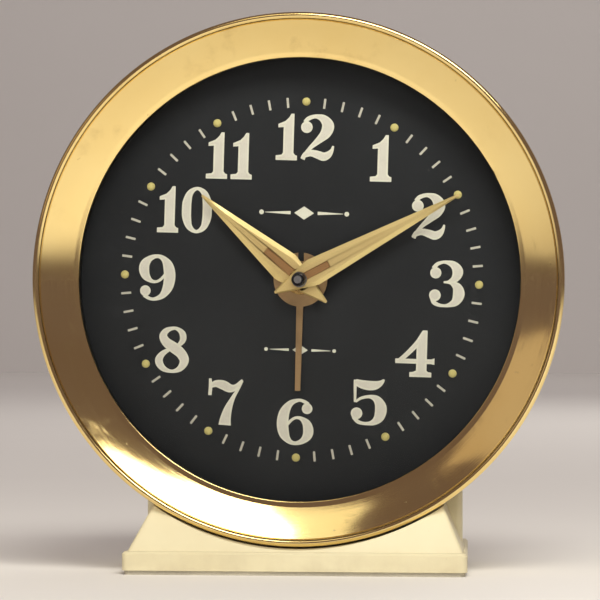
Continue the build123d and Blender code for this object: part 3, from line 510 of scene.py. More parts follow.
# a digit is one high and centred across: strokes are (x, y, width), balls are (x, y, radius)
six = {
    "stroke": [[(0.27, 0.88, 0.09), (0.17, 0.945, 0.07), (0.05, 0.965, 0.07), (-0.12, 0.89, 0.13),
                (-0.24, 0.70, 0.22), (-0.275, 0.46, 0.25), (-0.235, 0.24, 0.22), (-0.13, 0.09, 0.12),
                (0.0, 0.04, 0.08), (0.15, 0.085, 0.12), (0.26, 0.20, 0.20), (0.285, 0.33, 0.22),
                (0.24, 0.47, 0.18), (0.13, 0.57, 0.09), (0.02, 0.59, 0.06), (-0.08, 0.54, 0.06),
                (-0.17, 0.44, 0.06)]],
    "ball": [(0.245, 0.79, 0.115)],
}
digits = {
    "0": {"stroke": [[(0, 0.965, 0.07), (-0.15, 0.87, 0.13), (-0.215, 0.68, 0.19), (-0.225, 0.5, 0.2),
                      (-0.215, 0.32, 0.19), (-0.15, 0.13, 0.13), (0, 0.035, 0.07), (0.15, 0.13, 0.13),
                      (0.215, 0.32, 0.19), (0.225, 0.5, 0.2), (0.215, 0.68, 0.19), (0.15, 0.87, 0.13),
                      (0, 0.965, 0.07)]]},
    "1": {"shape": [
        [(0.15, 1.0), (0.085, 1.0), (0.04, 0.92), (-0.04, 0.84), (-0.19, 0.775), (-0.19, 0.70),
         (-0.075, 0.71), (-0.075, 0.16), (-0.11, 0.115), (-0.23, 0.10), (-0.23, 0.0), (0.23, 0.0),
         (0.23, 0.10), (0.185, 0.115), (0.15, 0.16)]]},
    "2": {"stroke": [[(-0.285, 0.82, 0.09), (-0.20, 0.91, 0.09), (-0.04, 0.955, 0.09), (0.12, 0.90, 0.18),
                      (0.215, 0.76, 0.26), (0.17, 0.60, 0.23), (0.03, 0.45, 0.15), (-0.13, 0.30, 0.09),
                      (-0.25, 0.16, 0.07), (-0.315, 0.03, 0.10)],
                     [(-0.33, 0.05, 0.06), (-0.25, 0.13, 0.12), (-0.13, 0.165, 0.14), (0.02, 0.13, 0.17),
                      (0.14, 0.095, 0.18), (0.24, 0.14, 0.15), (0.31, 0.23, 0.08), (0.34, 0.33, 0.04)]],
          "ball": [(-0.24, 0.72, 0.125)]},
    "3": {"stroke": [[(-0.30, 0.82, 0.09), (-0.21, 0.92, 0.08), (-0.05, 0.965, 0.07), (0.13, 0.91, 0.16),
                      (0.225, 0.77, 0.23), (0.17, 0.62, 0.17), (0.04, 0.545, 0.07), (-0.07, 0.535, 0.04)],
                     [(-0.02, 0.535, 0.04), (0.10, 0.52, 0.09), (0.22, 0.43, 0.20), (0.26, 0.28, 0.25),
                      (0.19, 0.12, 0.18), (0.03, 0.04, 0.08), (-0.12, 0.035, 0.07), (-0.26, 0.09, 0.09),
                      (-0.31, 0.19, 0.09)]],
          "ball": [(-0.245, 0.73, 0.12), (-0.25, 0.25, 0.125)]},
    "4": {"stroke": [[(0.21, 0.93, 0.13), (0.02, 0.68, 0.115), (-0.20, 0.45, 0.10), (-0.34, 0.33, 0.09)]],
          "shape": [
        [(0.265, 1.0), (0.16, 1.0), (0.04, 0.80), (0.04, 0.14), (-0.02, 0.11), (-0.10, 0.10), (-0.10, 0.0),
         (0.37, 0.0), (0.37, 0.10), (0.30, 0.11), (0.265, 0.14)],
        [(-0.41, 0.385), (-0.41, 0.285), (0.36, 0.285), (0.43, 0.27), (0.43, 0.41), (0.36, 0.385)]]},
    "5": {"stroke": [[(-0.305, 0.97, 0.06), (-0.30, 0.75, 0.06), (-0.295, 0.49, 0.05)],
                     [(-0.30, 0.93, 0.12), (-0.19, 0.885, 0.17), (-0.03, 0.855, 0.20), (0.12, 0.86, 0.19),
                      (0.24, 0.91, 0.12), (0.32, 0.99, 0.04)],
                     [(-0.28, 0.50, 0.05), (-0.16, 0.58, 0.06), (0.03, 0.615, 0.08), (0.18, 0.55, 0.17),
                      (0.265, 0.38, 0.25), (0.23, 0.18, 0.22), (0.10, 0.06, 0.12), (-0.06, 0.035, 0.07),
                      (-0.22, 0.07, 0.08), (-0.32, 0.18, 0.09)]],
          "ball": [(-0.255, 0.25, 0.125)]},
    "6": six,
    "7": {"stroke": [[(-0.345, 1.0, 0.055), (-0.335, 0.82, 0.075), (-0.345, 0.64, 0.075)],
                     [(-0.33, 0.84, 0.09), (-0.21, 0.89, 0.15), (-0.06, 0.865, 0.20), (0.09, 0.80, 0.18),
                      (0.22, 0.84, 0.11), (0.35, 0.99, 0.04)],
                     [(0.355, 0.97, 0.04), (0.28, 0.82, 0.06), (0.16, 0.60, 0.09), (0.06, 0.36, 0.17),
                      (0.01, 0.15, 0.23), (-0.005, 0.0, 0.27)]]},
    "8": {"stroke": [[(0.03, 0.965, 0.07), (-0.13, 0.91, 0.12), (-0.20, 0.79, 0.17), (-0.13, 0.66, 0.20),
                      (0.03, 0.55, 0.23), (0.19, 0.43, 0.22), (0.27, 0.27, 0.20), (0.18, 0.10, 0.13),
                      (0.0, 0.035, 0.07), (-0.19, 0.10, 0.13), (-0.28, 0.25, 0.17), (-0.22, 0.39, 0.13),
                      (-0.07, 0.50, 0.08), (0.12, 0.59, 0.08), (0.225, 0.71, 0.13), (0.22, 0.84, 0.14),
                      (0.14, 0.93, 0.09), (0.03, 0.965, 0.07)]]},
    "9": {"stroke": [[(-x, 1 - y, w) for x, y, w in six["stroke"][0]]],
          "ball": [(-x, 1 - y, r) for x, y, r in six["ball"]]},
}
digitWidth = {"0": 0.64, "1": 0.46, "2": 0.72}


# a curve through the stroke's stations, as evenly spread samples
def smoothStroke(stroke, samples=7):
    closed = stroke[0] == stroke[-1]
    stations = [Vector(station) for station in (stroke[:-1] if closed else stroke)]
    count = len(stations)

    def at(index):
        if closed:
            return stations[index % count]
        if index < 0:
            return 2 * stations[0] - stations[1]
        if index >= count:
            return 2 * stations[-1] - stations[-2]
        return stations[index]

    points = []
    for i in range(count if closed else count - 1):
        before, here, there, after = at(i - 1), at(i), at(i + 1), at(i + 2)
        for step in range(samples):
            t = step / samples
            points.append(0.5 * (2 * here + (there - before) * t
                                 + (2 * before - 5 * here + 4 * there - after) * t ** 2
                                 + (3 * here - before - 3 * there + after) * t ** 3))
    points.append(at(0) if closed else stations[-1])
    return points


# move every side of an outline inwards by the same amount
def insetShape(shape, inset):
    count = len(shape)
    area = sum(shape[i][0] * shape[(i + 1) % count][1] - shape[(i + 1) % count][0] * shape[i][1]
               for i in range(count))
    side = 1 if area > 0 else -1
    moved = []
    for i in range(count):
        here = Vector(shape[i])
        into = (here - Vector(shape[i - 1])).normalized()
        out = (Vector(shape[(i + 1) % count]) - here).normalized()
        first, second = Vector((-into.y, into.x)) * side, Vector((-out.y, out.x)) * side
        reach = (first + second) / max(0.6, 1 + first.dot(second))
        moved.append(here + reach * inset)
    return moved


# a point of the dial, turned as the whole print is
def tilted(x, z):
    tilt = radians(dial["tilt"])
    return Vector((x * cos(tilt) - z * sin(tilt), x * sin(tilt) + z * cos(tilt)))


# the flat patches that cover one digit, drawn inset from its edge
def digitFaces(digit, inset):
    faces = []
    for stroke in digit.get("stroke", []):
        points = smoothStroke(stroke)
        left, right = [], []
        for i, point in enumerate(points):
            ahead = points[min(i + 1, len(points) - 1)] - points[max(i - 1, 0)]
            if stroke[0] == stroke[-1] and i in (0, len(points) - 1):
                ahead = points[1] - points[-2]
            across = Vector((-ahead.y, ahead.x)).normalized()
            half = max(point.z / 2 - inset, 0.004)
            flat = Vector((point.x, point.y))
            left.append(flat + across * half)
            right.append(flat - across * half)
        for i in range(len(points) - 1):
            if max((left[i] - right[i]).length, (left[i + 1] - right[i + 1]).length) < 0.012:
                continue
            faces.append([left[i], right[i], right[i + 1]])
            faces.append([left[i], right[i + 1], left[i + 1]])
    for x, y, radius in digit.get("ball", []):
        faces.append([Vector((x + u, y + v)) for u, v in circlePoints(radius - inset, 28)])
    for shape in digit.get("shape", []):
        faces.append(insetShape(shape, inset))
    low, high = inset, 1 - inset
    return [[Vector((v.x, min(max(v.y, low), high))) for v in face] for face in faces]


sliverArea = 2e-4  # in square millimetres; thinner patches add nothing


# join flat patches into one sheet and stand it up from floorY to topY
def raiseFlat(work, faces, floorY, topY):
    points, rings = [], []
    for face in faces:
        area = sum(face[i].x * face[(i + 1) % len(face)].y - face[(i + 1) % len(face)].x * face[i].y
                   for i in range(len(face)))
        if abs(area) < sliverArea:
            continue
        ring = face if area > 0 else list(reversed(face))
        rings.append(list(range(len(points), len(points) + len(ring))))
        points += ring
    verts, _, triangles, _, _, owners = delaunay_2d_cdt(points, [], rings, 1, 1e-5)
    triangles = [tri for tri, owner in zip(triangles, owners) if owner]
    top = [work.verts.new((v.x * mm, topY * mm, v.y * mm)) for v in verts]
    low = [work.verts.new((v.x * mm, floorY * mm, v.y * mm)) for v in verts]
    edges = {}
    for tri in triangles:
        work.faces.new([top[i] for i in tri])
        work.faces.new([low[i] for i in reversed(tri)])
        for i in range(3):
            edges[(tri[i], tri[(i + 1) % 3])] = True
    for first, second in edges:
        if (second, first) not in edges:
            work.faces.new([top[second], top[first], low[first], low[second]])


def buildNumerals(inset, low, high):
    def build(work):
        for text, centre in numerals.items():
            widths = [digitWidth.get(c, dial["digitWidth"]) for c in text]
            gap = dial["digitGap"]
            cursor = -(sum(widths) + gap * (len(text) - 1)) / 2
            for letter, width in zip(text, widths):
                faces = digitFaces(digits[letter], inset)
                shift = cursor + width / 2
                cursor += width + gap
                placed = [[tilted(centre[0] + (v.x + shift) * dial["height"],
                                  centre[1] + (v.y - 0.5) * dial["height"]) for v in face] for face in faces]
                raiseFlat(work, placed, dialFace / mm - low, dialFace / mm - high)
        bmesh.ops.translate(work, verts=work.verts, vec=(0, 0, axisHeight))
    return build


numeralEdges = newPiece("numeralEdges", meshFrom("numeralEdges", buildNumerals(0.0, 0.0, dial["edgeLift"])),
                        numeralEdge, "case", 30)
fillBuild = buildNumerals(dial["border"], dial["lumeSink"], dial["lumeLift"])
newPiece("numeralFill", meshFrom("numeralFill", fillBuild), numeralLume, "case", 30)
print("numerals printed", len(numeralEdges.data.polygons))


# a Geometry Nodes tree with named inputs, built in the script
class Tree:

    def __init__(self, name, inputs, material):
        self.tree = bpy.data.node_groups.new(name, "GeometryNodeTree")
        self.tree.interface.new_socket("Geometry", in_out="OUTPUT", socket_type="NodeSocketGeometry")
        for key, (kind, value) in inputs.items():
            made = self.tree.interface.new_socket(key, in_out="INPUT", socket_type="NodeSocket" + kind)
            made.default_value = value
        self.inputs = self.tree.nodes.new("NodeGroupInput")
        self.outputs = self.tree.nodes.new("NodeGroupOutput")
        self.material = material
        self.values = {key: value for key, (kind, value) in inputs.items()}

    def given(self, name):
        return self.inputs.outputs[name]

    def node(self, kind, settings, inputs, result=0):
        made = self.tree.nodes.new(kind)
        for key, value in settings.items():
            setattr(made, key, value)
        for key, value in inputs.items():
            if isinstance(value, bpy.types.NodeSocket):
                self.tree.links.new(value, made.inputs[key])
            else:
                made.inputs[key].default_value = value
        return made.outputs[result]

    def maths(self, operation, first, second=0.0):
        return self.node("ShaderNodeMath", {"operation": operation}, {0: first, 1: second})

    def join(self, shapes):
        joined = self.node("GeometryNodeJoinGeometry", {}, {})
        for shape in shapes:
            self.tree.links.new(shape, joined.node.inputs[0])
        return joined

    def close(self, shape):
        real = self.node("GeometryNodeRealizeInstances", {}, {"Geometry": shape})
        dressed = self.node("GeometryNodeSetMaterial", {}, {"Geometry": real, "Material": self.material})
        self.tree.links.new(dressed, self.outputs.inputs[0])

    # run the tree and keep its result as a plain mesh in the frame's place
    def grow(self, name, body, slot, place, smoothAngle):
        holder = addObject(name + "Maker", bpy.data.meshes.new(name + "Maker"))
        modifier = holder.modifiers.new("grow", "NODES")
        modifier.node_group = self.tree
        for item in self.tree.interface.items_tree:
            if item.in_out == "INPUT":
                modifier[item.identifier] = self.values[item.name]
        graph = bpy.context.evaluated_depsgraph_get()
        mesh = bpy.data.meshes.new_from_object(holder.evaluated_get(graph))
        mesh.name = name
        bpy.data.objects.remove(holder)
        mesh.transform(place)
        work = bmesh.new()
        work.from_mesh(mesh)
        bmesh.ops.remove_doubles(work, verts=work.verts, dist=1e-7)
        bmesh.ops.recalc_face_normals(work, faces=work.faces)
        work.to_mesh(mesh)
        work.free()
        return newPiece(name, mesh, self.material, body, smoothAngle)


# stand copies of a shape on a circle, each turned to face outwards; skip leaves out every nth
def ringOf(tree, count, radius, shape, skip=None):
    line = tree.node("GeometryNodeMeshLine", {"mode": "OFFSET"}, {"Count": count, "Offset": (0, 0, 0)})
    index = tree.node("GeometryNodeInputIndex", {}, {})
    share = tree.maths("DIVIDE", index, count)
    angle = tree.maths("MULTIPLY", share, 2 * pi)
    x = tree.maths("MULTIPLY", tree.maths("COSINE", angle), radius)
    z = tree.maths("MULTIPLY", tree.maths("SINE", angle), radius)
    spot = tree.node("ShaderNodeCombineXYZ", {}, {"X": x, "Z": z})
    placed = tree.node("GeometryNodeSetPosition", {}, {"Geometry": line, "Position": spot})
    turn = tree.node("ShaderNodeCombineXYZ", {}, {"Y": tree.maths("MULTIPLY", angle, -1.0)})
    feeds = {"Points": placed, "Instance": shape, "Rotation": turn}
    if skip is not None:
        rest = tree.maths("MODULO", index, skip)
        feeds["Selection"] = tree.maths("GREATER_THAN", rest, 0.5)
    return tree.node("GeometryNodeInstanceOnPoints", {}, feeds)


dialTurn = Matrix.Translation((0, dialFace, axisHeight)) @ Matrix.Rotation(radians(-dial["tilt"]), 4, "Y")

ticks = Tree("minuteTicks", {
    "Ticks": ("Int", 60), "Inner": ("Float", dial["tickInner"] * mm),
    "Outer": ("Float", dial["tickOuter"] * mm), "Width": ("Float", dial["tickWidth"] * mm),
    "Lift": ("Float", dial["tickLift"] * mm)}, tickPaint)
tickSize = ticks.node("ShaderNodeCombineXYZ", {}, {
    "X": ticks.maths("SUBTRACT", ticks.given("Outer"), ticks.given("Inner")), "Y": ticks.given("Lift"),
    "Z": ticks.given("Width")})
tickBar = ticks.node("GeometryNodeMeshCube", {}, {"Size": tickSize})
tickMiddle = ticks.maths("MULTIPLY", ticks.maths("ADD", ticks.given("Outer"), ticks.given("Inner")), 0.5)
ticks.close(ringOf(ticks, ticks.given("Ticks"), tickMiddle, tickBar, 5.0))
tickPlace = dialTurn @ Matrix.Translation((0, -dial["tickLift"] * mm / 2, 0))
ticks.grow("minuteTicks", "case", "dial_black", tickPlace, 20)

dots = Tree("hourDots", {
    "Dots": ("Int", 12), "Circle": ("Float", dial["dotCircle"] * mm),
    "Radius": ("Float", dial["dotRadius"] * mm), "Lift": ("Float", dial["dotLift"] * mm)}, hourDotLume)
dotBall = dots.node("GeometryNodeMeshUVSphere", {}, {
    "Segments": 24, "Rings": 14, "Radius": dots.given("Radius")})
dotScale = dots.node("ShaderNodeCombineXYZ", {}, {
    "X": 1.0, "Y": dots.maths("DIVIDE", dots.given("Lift"), dots.given("Radius")), "Z": 1.0})
dotShape = dots.node("GeometryNodeTransform", {}, {"Geometry": dotBall, "Scale": dotScale})
dots.close(ringOf(dots, dots.given("Dots"), dots.given("Circle"), dotShape))
dots.grow("hourDots", "case", "dial_black", dialTurn, 60)
print("minute ticks and hour dots set")


# dial ornament, in place of lettering
ornament = {"upperZ": 12.6, "lowerZ": -13.3, "lowerSize": 0.78, "shift": 0.2, "reach": 7.4,
            "thickness": 0.32, "diamond": 1.25, "gap": 0.7, "dot": 0.45}


def buildOrnament(work):
    gap = ornament["gap"]
    for height, size in ((ornament["upperZ"], 1.0), (ornament["lowerZ"], ornament["lowerSize"])):
        tall, reach, thick = (ornament[key] * size for key in ("diamond", "reach", "thickness"))
        wide = tall * 1.5
        shapes = [[(wide, 0), (0, tall), (-wide, 0), (0, -tall)]]
        for side in (-1, 1):
            shapes.append([(side * (wide + gap), thick), (side * (wide + gap), -thick),
                           (side * reach, -thick * 0.15), (side * reach, thick * 0.15)])
            shapes.append([(side * (reach + gap + x), z)
                           for x, z in circlePoints(ornament["dot"] * size, 16)])
        for shape in shapes:
            ring = [tilted(x + ornament["shift"], z + height) for x, z in shape]
            raiseFlat(work, [ring], dialFace / mm, dialFace / mm - dial["edgeLift"])
    bmesh.ops.translate(work, verts=work.verts, vec=(0, 0, axisHeight))


newPiece("dialOrnament", meshFrom("dialOrnament", buildOrnament), numeralEdge, "case", 30)


# hands
minuteHand = {"bearing": 90 - 62.2, "tip": 34.0, "tail": 5.3, "half": 2.6, "shoulder": 2.8, "bevel": 0.78,
              "hole": 1.20, "recess": 1.36, "tongue": 6.2, "tongueHalf": 0.62, "front": -12.4, "thick": 0.4}
hourHand = {"bearing": 90 - 310.5, "tip": 24.5, "tail": 6.6, "half": 3.0, "shoulder": 3.6, "bevel": 0.85,
            "hole": 1.48, "recess": 1.62, "tongue": 8.4, "tongueHalf": 0.72, "front": -11.2, "thick": 0.4}
stamping = {"points": 56, "tipHalf": 0.22, "tailBevel": 0.26, "fall": 0.27, "depth": 0.19, "wall": 0.12}


# half width of a hand at a distance u along it from its pivot
def handHalf(hand, u):
    reach = hand["half"] - stamping["tipHalf"]
    if u >= hand["shoulder"]:
        return stamping["tipHalf"] + reach * (hand["tip"] - u) / (hand["tip"] - hand["shoulder"])
    share = max(0.0, u + hand["tail"]) / (hand["shoulder"] + hand["tail"])
    return stamping["tipHalf"] + reach * share ** 0.92


# outline from the tip round by one side to the tail and back; bevelled moves it in to the flat's edge
def handOutline(hand, bevelled):
    side = []
    for i in range(stamping["points"] + 1):
        ease = 0.5 - 0.5 * cos(pi * i / stamping["points"])
        u = hand["tip"] - (hand["tip"] + hand["tail"]) * ease
        half = handHalf(hand, u)
        if bevelled:
            share = min(1.0, max(0.0, u / hand["shoulder"]))
            inset = stamping["tailBevel"] + (hand["bevel"] - stamping["tailBevel"]) * share
            half = max(half - inset, half * 0.30)
            u = min(max(u, 0.6 - hand["tail"]), hand["tip"] - 1.4)
        side.append((u, half))
    return side + [(u, -half) for u, half in reversed(side)]


# ring round the pivot, with a tongue towards the tip when it has a length
def keyhole(radius, tongue=0.0, tongueHalf=0.0):
    count = 2 * stamping["points"] + 2
    found = []
    for i in range(count):
        side = 1 if i < count / 2 else -1
        share = (i if side > 0 else count - 1 - i) / (count / 2 - 1)
        angle = side * pi * share ** 1.7
        reach = radius
        if tongue and cos(angle) > 0.01:
            reach = max(radius, min(tongue / cos(angle), tongueHalf / max(abs(sin(angle)), 1e-6)))
        found.append((reach * cos(angle), reach * sin(angle)))
    return found


def buildHand(hand):
    def build(work):
        stamped = work.verts.layers.float.new("stamped")
        front, back = hand["front"], hand["front"] + hand["thick"]
        low, wall = front + stamping["depth"], stamping["wall"]
        recess, tongue, tongueHalf = hand["recess"], hand["tongue"], hand["tongueHalf"]
        outer = handOutline(hand, False)
        turn = radians(hand["bearing"])

        def ring(points, depth, mark=0.0):
            made = []
            for u, v in points:
                vert = work.verts.new(((u * cos(turn) - v * sin(turn)) * mm, depth * mm,
                                       axisHeight + (u * sin(turn) + v * cos(turn)) * mm))
                vert[stamped] = mark
                made.append(vert)
            return made

        rings = [
            ring(keyhole(hand["hole"]), back),
            ring(keyhole(hand["hole"]), low, 1.0),
            ring(keyhole(recess, tongue, tongueHalf), low, 1.0),
            ring(keyhole(recess + wall, tongue + wall * 2, tongueHalf + wall), front, 0.25),
            ring(handOutline(hand, True), front),
            ring(outer, front + stamping["fall"]),
            ring(outer, back - 0.03),
            ring([(u * 0.999, v * 0.95) for u, v in outer], back),
        ]
        bridgeRings(work, rings + rings[:1])
        bmesh.ops.remove_doubles(work, verts=work.verts, dist=2e-6)
        bmesh.ops.dissolve_degenerate(work, edges=work.edges, dist=1e-7)
        bmesh.ops.triangulate(work, faces=work.faces)
    return build


for name, hand, body in (("minuteBlade", minuteHand, "minute_hand"), ("hourBlade", hourHand, "hour_hand")):
    blade = newPiece(name, meshFrom(name, buildHand(hand)), giltHand, body, 12)
    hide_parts(body)

hub = {"front": -14.88, "radius": 1.25, "wall": 0.32, "foot": -12.44, "arbor": 0.74, "recess": 0.75}


def buildHubCap(work):
    front, radius, arbor = hub["front"], hub["radius"], hub["arbor"]
    latheInto(work, [
        (radius, hub["foot"]), (radius, front + 0.25), (radius - 0.1, front + 0.06), (radius - 0.2, front),
        (radius - hub["wall"], front + 0.03), (radius - hub["wall"] - 0.05, front + hub["recess"]),
        (arbor, front + hub["recess"] + 0.05), (arbor, hub["foot"])], axisPoint, 48)


hubCap = newPiece("hubCap", meshFrom("hubCap", buildHubCap), burntSteel, "minute_hand", 30)
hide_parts("centre_cap")
frame["nodes"]["alarm_hand"].data.materials[0] = alarmBrown
frame["nodes"]["centre_arbor"].data.materials[0] = groundSteel
print("hands cut")


# winding keys
winding = {
    "start": 20.2, "hub": 2.6, "bore": 1.52, "wingMiddle": 6.4, "wingLift": 6.95, "wingHalf": 4.25,
    "wingHeight": 3.55, "thick": 1.25, "dish": 0.3, "rimShare": 0.8, "hollowShare": 0.75, "webHalf": 0.5,
    "ringCount": 48, "levels": 12,
}


# half thickness of a wing from its middle to its rim: a rounded rim and a thumb hollow
def wingHalfAt(share):
    past = max(0.0, share - winding["rimShare"]) / (1 - winding["rimShare"])
    rim = sqrt(max(0.0, 1 - past ** 2))
    hollow = winding["dish"] * (1 - min(1, share / winding["hollowShare"]) ** 2)
    return winding["thick"] / 2 * (0.25 + 0.75 * rim) - hollow


def buildKey(jointName, bearing):
    def build(work):
        place = jointPlace[jointName]
        start, hubRadius, bore = winding["start"], winding["hub"], winding["bore"]
        latheInto(work, [
            (bore, start + 0.1), (hubRadius - 0.3, start), (hubRadius, start + 0.3), (hubRadius, start + 3.4),
            (hubRadius - 0.45, start + 4.9), (1.5, start + 5.4), (0, start + 5.5), (0, start + 4.0),
            (bore, start + 4.0)], (place.x, 0, place.z), 48)
        turn = radians(bearing)

        # a vertex from its distance along the wings, across them and fore and aft
        def spot(along, across, depth):
            return work.verts.new((place.x + (along * cos(turn) - across * sin(turn)) * mm, depth * mm,
                                   place.z + (along * sin(turn) + across * cos(turn)) * mm))

        for side in (-1, 1):
            rows, levels, ringCount = [], winding["levels"], winding["ringCount"]
            for face in (-1, 1):
                spread = range(levels + 1) if face < 0 else range(levels, -1, -1)
                for level in spread:
                    share = sin(pi / 2 * level / levels)
                    thin = wingHalfAt(share)
                    ring = []
                    for i in range(ringCount):
                        angle = 2 * pi * i / ringCount
                        lobe = 1 + 0.06 * cos(2 * angle)
                        reach = winding["wingMiddle"] + winding["wingHalf"] * share * lobe * cos(angle)
                        depth = start + winding["wingLift"] + winding["wingHeight"] * share * sin(angle)
                        ring.append(spot(side * reach, face * thin, depth))
                    rows.append(ring)
            bridgeRings(work, rows)
            # web that joins the wing to the hub
            web = [spot(side * reach, face * winding["webHalf"], start + depth)
                   for reach, depth in ((1.2, 2.4), (3.6, 3.6), (3.6, 6.6), (1.2, 5.3)) for face in (-1, 1)]
            order = [(0, 2, 4, 6), (1, 7, 5, 3), (0, 1, 3, 2), (2, 3, 5, 4), (4, 5, 7, 6), (6, 7, 1, 0)]
            for corners in order:
                work.faces.new([web[i] for i in corners])
    return build


for keyName, jointName, bearing, body, node in (
        ("timeKey", "time_winding_turn", 28, "time_winding", "time_winding_key"),
        ("alarmKey", "alarm_winding_turn", 160, "alarm_winding", "alarm_winding_key")):
    key = newPiece(keyName, meshFrom(keyName, buildKey(jointName, bearing)), giltKey, body, 40)
    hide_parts(node)
print("keys made")


# knurled knobs
knobShape = {"ridge": 0.42, "gripInset": 0.45, "crownInset": 0.5, "crownTop": 0.78, "crownShare": 0.16}


# a domed knob body with a ring of rounded ridges round its grip
def knobTree(name, radius, length, ridges):
    tree = Tree(name, {
        "Ridges": ("Int", ridges), "Radius": ("Float", radius), "Length": ("Float", length),
        "Ridge": ("Float", knobShape["ridge"] * mm)}, giltKey)
    radius, length = tree.given("Radius"), tree.given("Length")
    grip = tree.maths("SUBTRACT", radius, knobShape["gripInset"] * mm)
    barrel = tree.node("GeometryNodeMeshCylinder", {"fill_type": "NGON"}, {
        "Vertices": 64, "Side Segments": 1, "Radius": grip, "Depth": length})
    crown = tree.node("GeometryNodeMeshCone", {"fill_type": "NGON"}, {
        "Vertices": 64, "Radius Bottom": tree.maths("SUBTRACT", radius, knobShape["crownInset"] * mm),
        "Radius Top": tree.maths("MULTIPLY", radius, knobShape["crownTop"]),
        "Depth": tree.maths("MULTIPLY", length, knobShape["crownShare"])})
    crownFoot = tree.maths("SUBTRACT", tree.maths("MULTIPLY", length, 0.5), 0.1 * mm)
    crownUp = tree.node("ShaderNodeCombineXYZ", {}, {"Z": crownFoot})
    crownSet = tree.node("GeometryNodeTransform", {}, {"Geometry": crown, "Translation": crownUp})
    laid = tree.node("GeometryNodeTransform", {}, {
        "Geometry": tree.join([barrel, crownSet]), "Rotation": (-pi / 2, 0, 0)})
    ridge = tree.node("GeometryNodeMeshCylinder", {"fill_type": "TRIANGLE_FAN"}, {
        "Vertices": 10, "Radius": tree.given("Ridge"), "Depth": tree.maths("MULTIPLY", length, 0.94)})
    ridgeLaid = tree.node("GeometryNodeTransform", {}, {"Geometry": ridge, "Rotation": (-pi / 2, 0, 0)})
    tree.close(tree.join([laid, ringOf(tree, tree.given("Ridges"), grip, ridgeLaid)]))
    return tree


for pieceName, node, body, ridges in (("timeSetKnob", "time_set_knob", "minute_hand", 30),
                                      ("alarmSetKnob", "alarm_set_knob", "alarm_set", 26)):
    low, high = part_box(node)
    radius, length = (high.x - low.x) / 2, high.y - low.y
    crownRoom = length * knobShape["crownShare"] / 2
    middle = (low + high) / 2 - Vector((0, crownRoom / 2, 0))
    tree = knobTree(pieceName, radius, length - crownRoom - 0.1 * mm, ridges)
    knob = tree.grow(pieceName, body, "gilt", Matrix.Translation(middle), 35)
    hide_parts(node)
print("knobs knurled")


# cover screws
coverScrew = {"circle": 38.0, "radius": 2.0, "front": 19.2, "rise": 1.05, "slot": 0.42, "slotDepth": 0.5,
              "shank": 0.9, "shankEnd": 17.55, "steps": 48}


# height of a screw head at a distance from its middle, and offset from the slot's middle line
def headRise(radius, offset):
    if offset < coverScrew["slot"]:
        return coverScrew["rise"] - coverScrew["slotDepth"]
    return coverScrew["rise"] * sqrt(max(0.0, 1 - (radius / 2.06) ** 2 * 0.80))


def buildCoverScrews(work):
    circle = coverScrew["circle"] * sqrt(0.5)
    front, rim, steps = coverScrew["front"], coverScrew["radius"], coverScrew["steps"]
    for k, (sx, sz) in enumerate(((1, 1), (-1, 1), (-1, -1), (1, -1))):
        turn = 0.4 + 1.9 * k

        def spot(x, z, depth):
            return work.verts.new(((sx * circle + x) * mm, depth * mm, axisHeight + (sz * circle + z) * mm))

        rings = [[spot(x, z, front + headRise(radius, abs(x * sin(turn) - z * cos(turn))))
                  for x, z in circlePoints(radius, steps)] for radius in (0.5, 1.0, 1.45, 1.75, 1.93, rim)]
        shank = ((rim, front), (coverScrew["shank"], front), (coverScrew["shank"], coverScrew["shankEnd"]))
        rings += [[spot(x, z, depth) for x, z in circlePoints(radius, steps)] for radius, depth in shank]
        bridgeRings(work, rings)
        middle = spot(0, 0, front + coverScrew["rise"] - coverScrew["slotDepth"])
        end = spot(0, 0, coverScrew["shankEnd"])
        for i in range(steps):
            j = (i + 1) % steps
            work.faces.new([middle, rings[0][j], rings[0][i]])
            work.faces.new([end, rings[-1][i], rings[-1][j]])


coverScrews = newPiece("coverScrews", meshFrom("coverScrews", buildCoverScrews), groundSteel, "case",
                       25)
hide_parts("cover_screws")
print("cover screws cut")


# marks printed on the cover: turning arrows, and plus and minus beside the regulator
coverMark = {"level": 19.2, "rise": 0.10, "width": 0.5, "head": 1.5, "plus": 1.5,
             "regulatorShift": -6.4, "regulatorGap": 6.6}
# each arrow: the joint it goes round, its radius, and the bearings where it starts and ends
arrows = [("time_winding_turn", 13.0, 250, 330), ("alarm_winding_turn", 13.0, 290, 210),
          ("minute_hand_turn", 8.2, 120, 60), ("alarm_set_turn", 7.4, 120, 10)]


# a joint's place on the cover, in millimetres from the middle
def onCover(jointName):
    place = jointPlace[jointName]
    return place.x / mm, (place.z - axisHeight) / mm


def arrowShapes(centre, radius, first, last):
    side = 1 if last > first else -1
    half, head, steps = coverMark["width"] / 2, coverMark["head"], 22
    shapes = []

    def at(angle, reach):
        return (centre[0] + reach * cos(radians(angle)), centre[1] + reach * sin(radians(angle)))

    for i in range(steps):
        here = first + (last - first) * i / steps
        there = first + (last - first) * (i + 1) / steps
        shapes.append([at(here, radius - half), at(here, radius + half),
                       at(there, radius + half), at(there, radius - half)])
    shapes.append([at(last, radius - head * 0.6), at(last, radius + head * 0.6),
                   at(last + side * degrees(head / radius), radius)])
    return shapes


def barShape(centre, wide, tall):
    cx, cz = centre
    return [(cx - wide, cz - tall), (cx + wide, cz - tall), (cx + wide, cz + tall), (cx - wide, cz + tall)]


